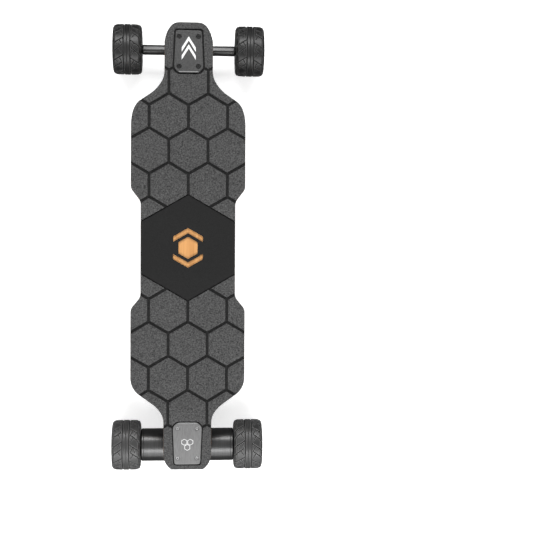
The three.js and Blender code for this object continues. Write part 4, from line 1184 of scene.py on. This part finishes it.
def add_stage():
    """A pale floor under a pale dome; neither shows in the board's reflections, which keeps them dark."""
    mesh = bmesh.new()
    bmesh.ops.create_grid(mesh, x_segments=2, y_segments=2, size=30)
    paint = surface("floor_paint", grey(240), grey(244), 0.7, grain=40, broad=2,
                    Emission_Color=(1, 1, 1, 1), Emission_Strength=0.6)
    backdrop("floor", mesh, paint).visible_glossy = False
    mesh = bmesh.new()
    bmesh.ops.create_uvsphere(mesh, u_segments=48, v_segments=24, radius=30)
    glow = surface("dome_paint", grey(10), grey(12), 0.9, grain=2, broad=1,
                   Emission_Color=(1, 1, 1, 1), Emission_Strength=0.68)
    dome = backdrop("dome", mesh, glow)
    dome.visible_diffuse = dome.visible_glossy = dome.visible_transmission = dome.visible_shadow = False

    world = bpy.data.worlds.new("studio")
    world.use_nodes = True
    world.node_tree.nodes["Background"].inputs["Color"].default_value = (1, 1, 1, 1)
    world.node_tree.nodes["Background"].inputs["Strength"].default_value = 0.12
    bpy.context.scene.world = world
    # Each light's place and size in metres, and its power in watts.
    for name, place, size, power in (
        ("nose_strip", (0.1, 1.75, 1.75), (2.8, 0.8), 60),
        ("tail_strip", (0.1, -1.55, 1.65), (2.8, 0.75), 46),
        ("overhead", (-0.6, 0.3, 3.2), (2.6, 2.6), 14),
        ("tail_glow", (0.0, -1.2, 0.45), (2.4, 0.5), 8),
    ):
        data = bpy.data.lights.new(name, "AREA")
        data.shape = "RECTANGLE"
        data.size, data.size_y = size
        data.energy = power
        light = bpy.data.objects.new(name, data)
        bpy.context.scene.collection.objects.link(light)
        light.location = place
        aim = Vector((0.1, 0, 0.1)) - Vector(place)
        light.rotation_euler = aim.to_track_quat("-Z", "Y").to_euler()
        light.visible_camera = False


# ---------------------------------------------------------------- the board
def carried_over():
    """CAD pieces whose own shape is right keep it and take a detailed finish."""
    finishes = {"enclosure_gasket": TRIM_RUBBER, "battery_pack": WRAP, "motor_controller": CAST_METAL,
                "receiver_board": CIRCUIT, "charge_port": STEEL}
    for name, finish in finishes.items():
        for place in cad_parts[name].material_slots:
            place.material = finish


# Plain painted marks: two chevrons that point to the nose, and three hexagon rings.
ARROW = [[anticlockwise([(-15, y), (0, y + 24), (15, y), (15, y + 9), (0, y + 33), (-15, y + 9)])]
         for y in (-18, -1)]
HONEYCOMB = [[hexagon(x, y, 12), hexagon(x, y, 10.2)[::-1]]
             for x, y in ((-6.5, 3), (6.5, 3), (0, -8.3))]

add_camera()
add_stage()
carried_over()
add_deck()
add_grip("grip_honeycomb_front", 1, "grip_front")
add_grip("grip_honeycomb_rear", -1, "grip_rear")
add_centre_panel()
add_plate("nose_plate", 1, DARK_PLATE, 4.6, ARROW)
add_plate("tail_plate", -1, LIGHT_PLATE, 3.4, HONEYCOMB)
add_enclosure()
add_wall_fittings()
add_lamps()
add_truck("front", 1)
add_truck("rear", -1)
add_motor("left", -1)
add_motor("right", 1)
add_wheels()
add_cables()
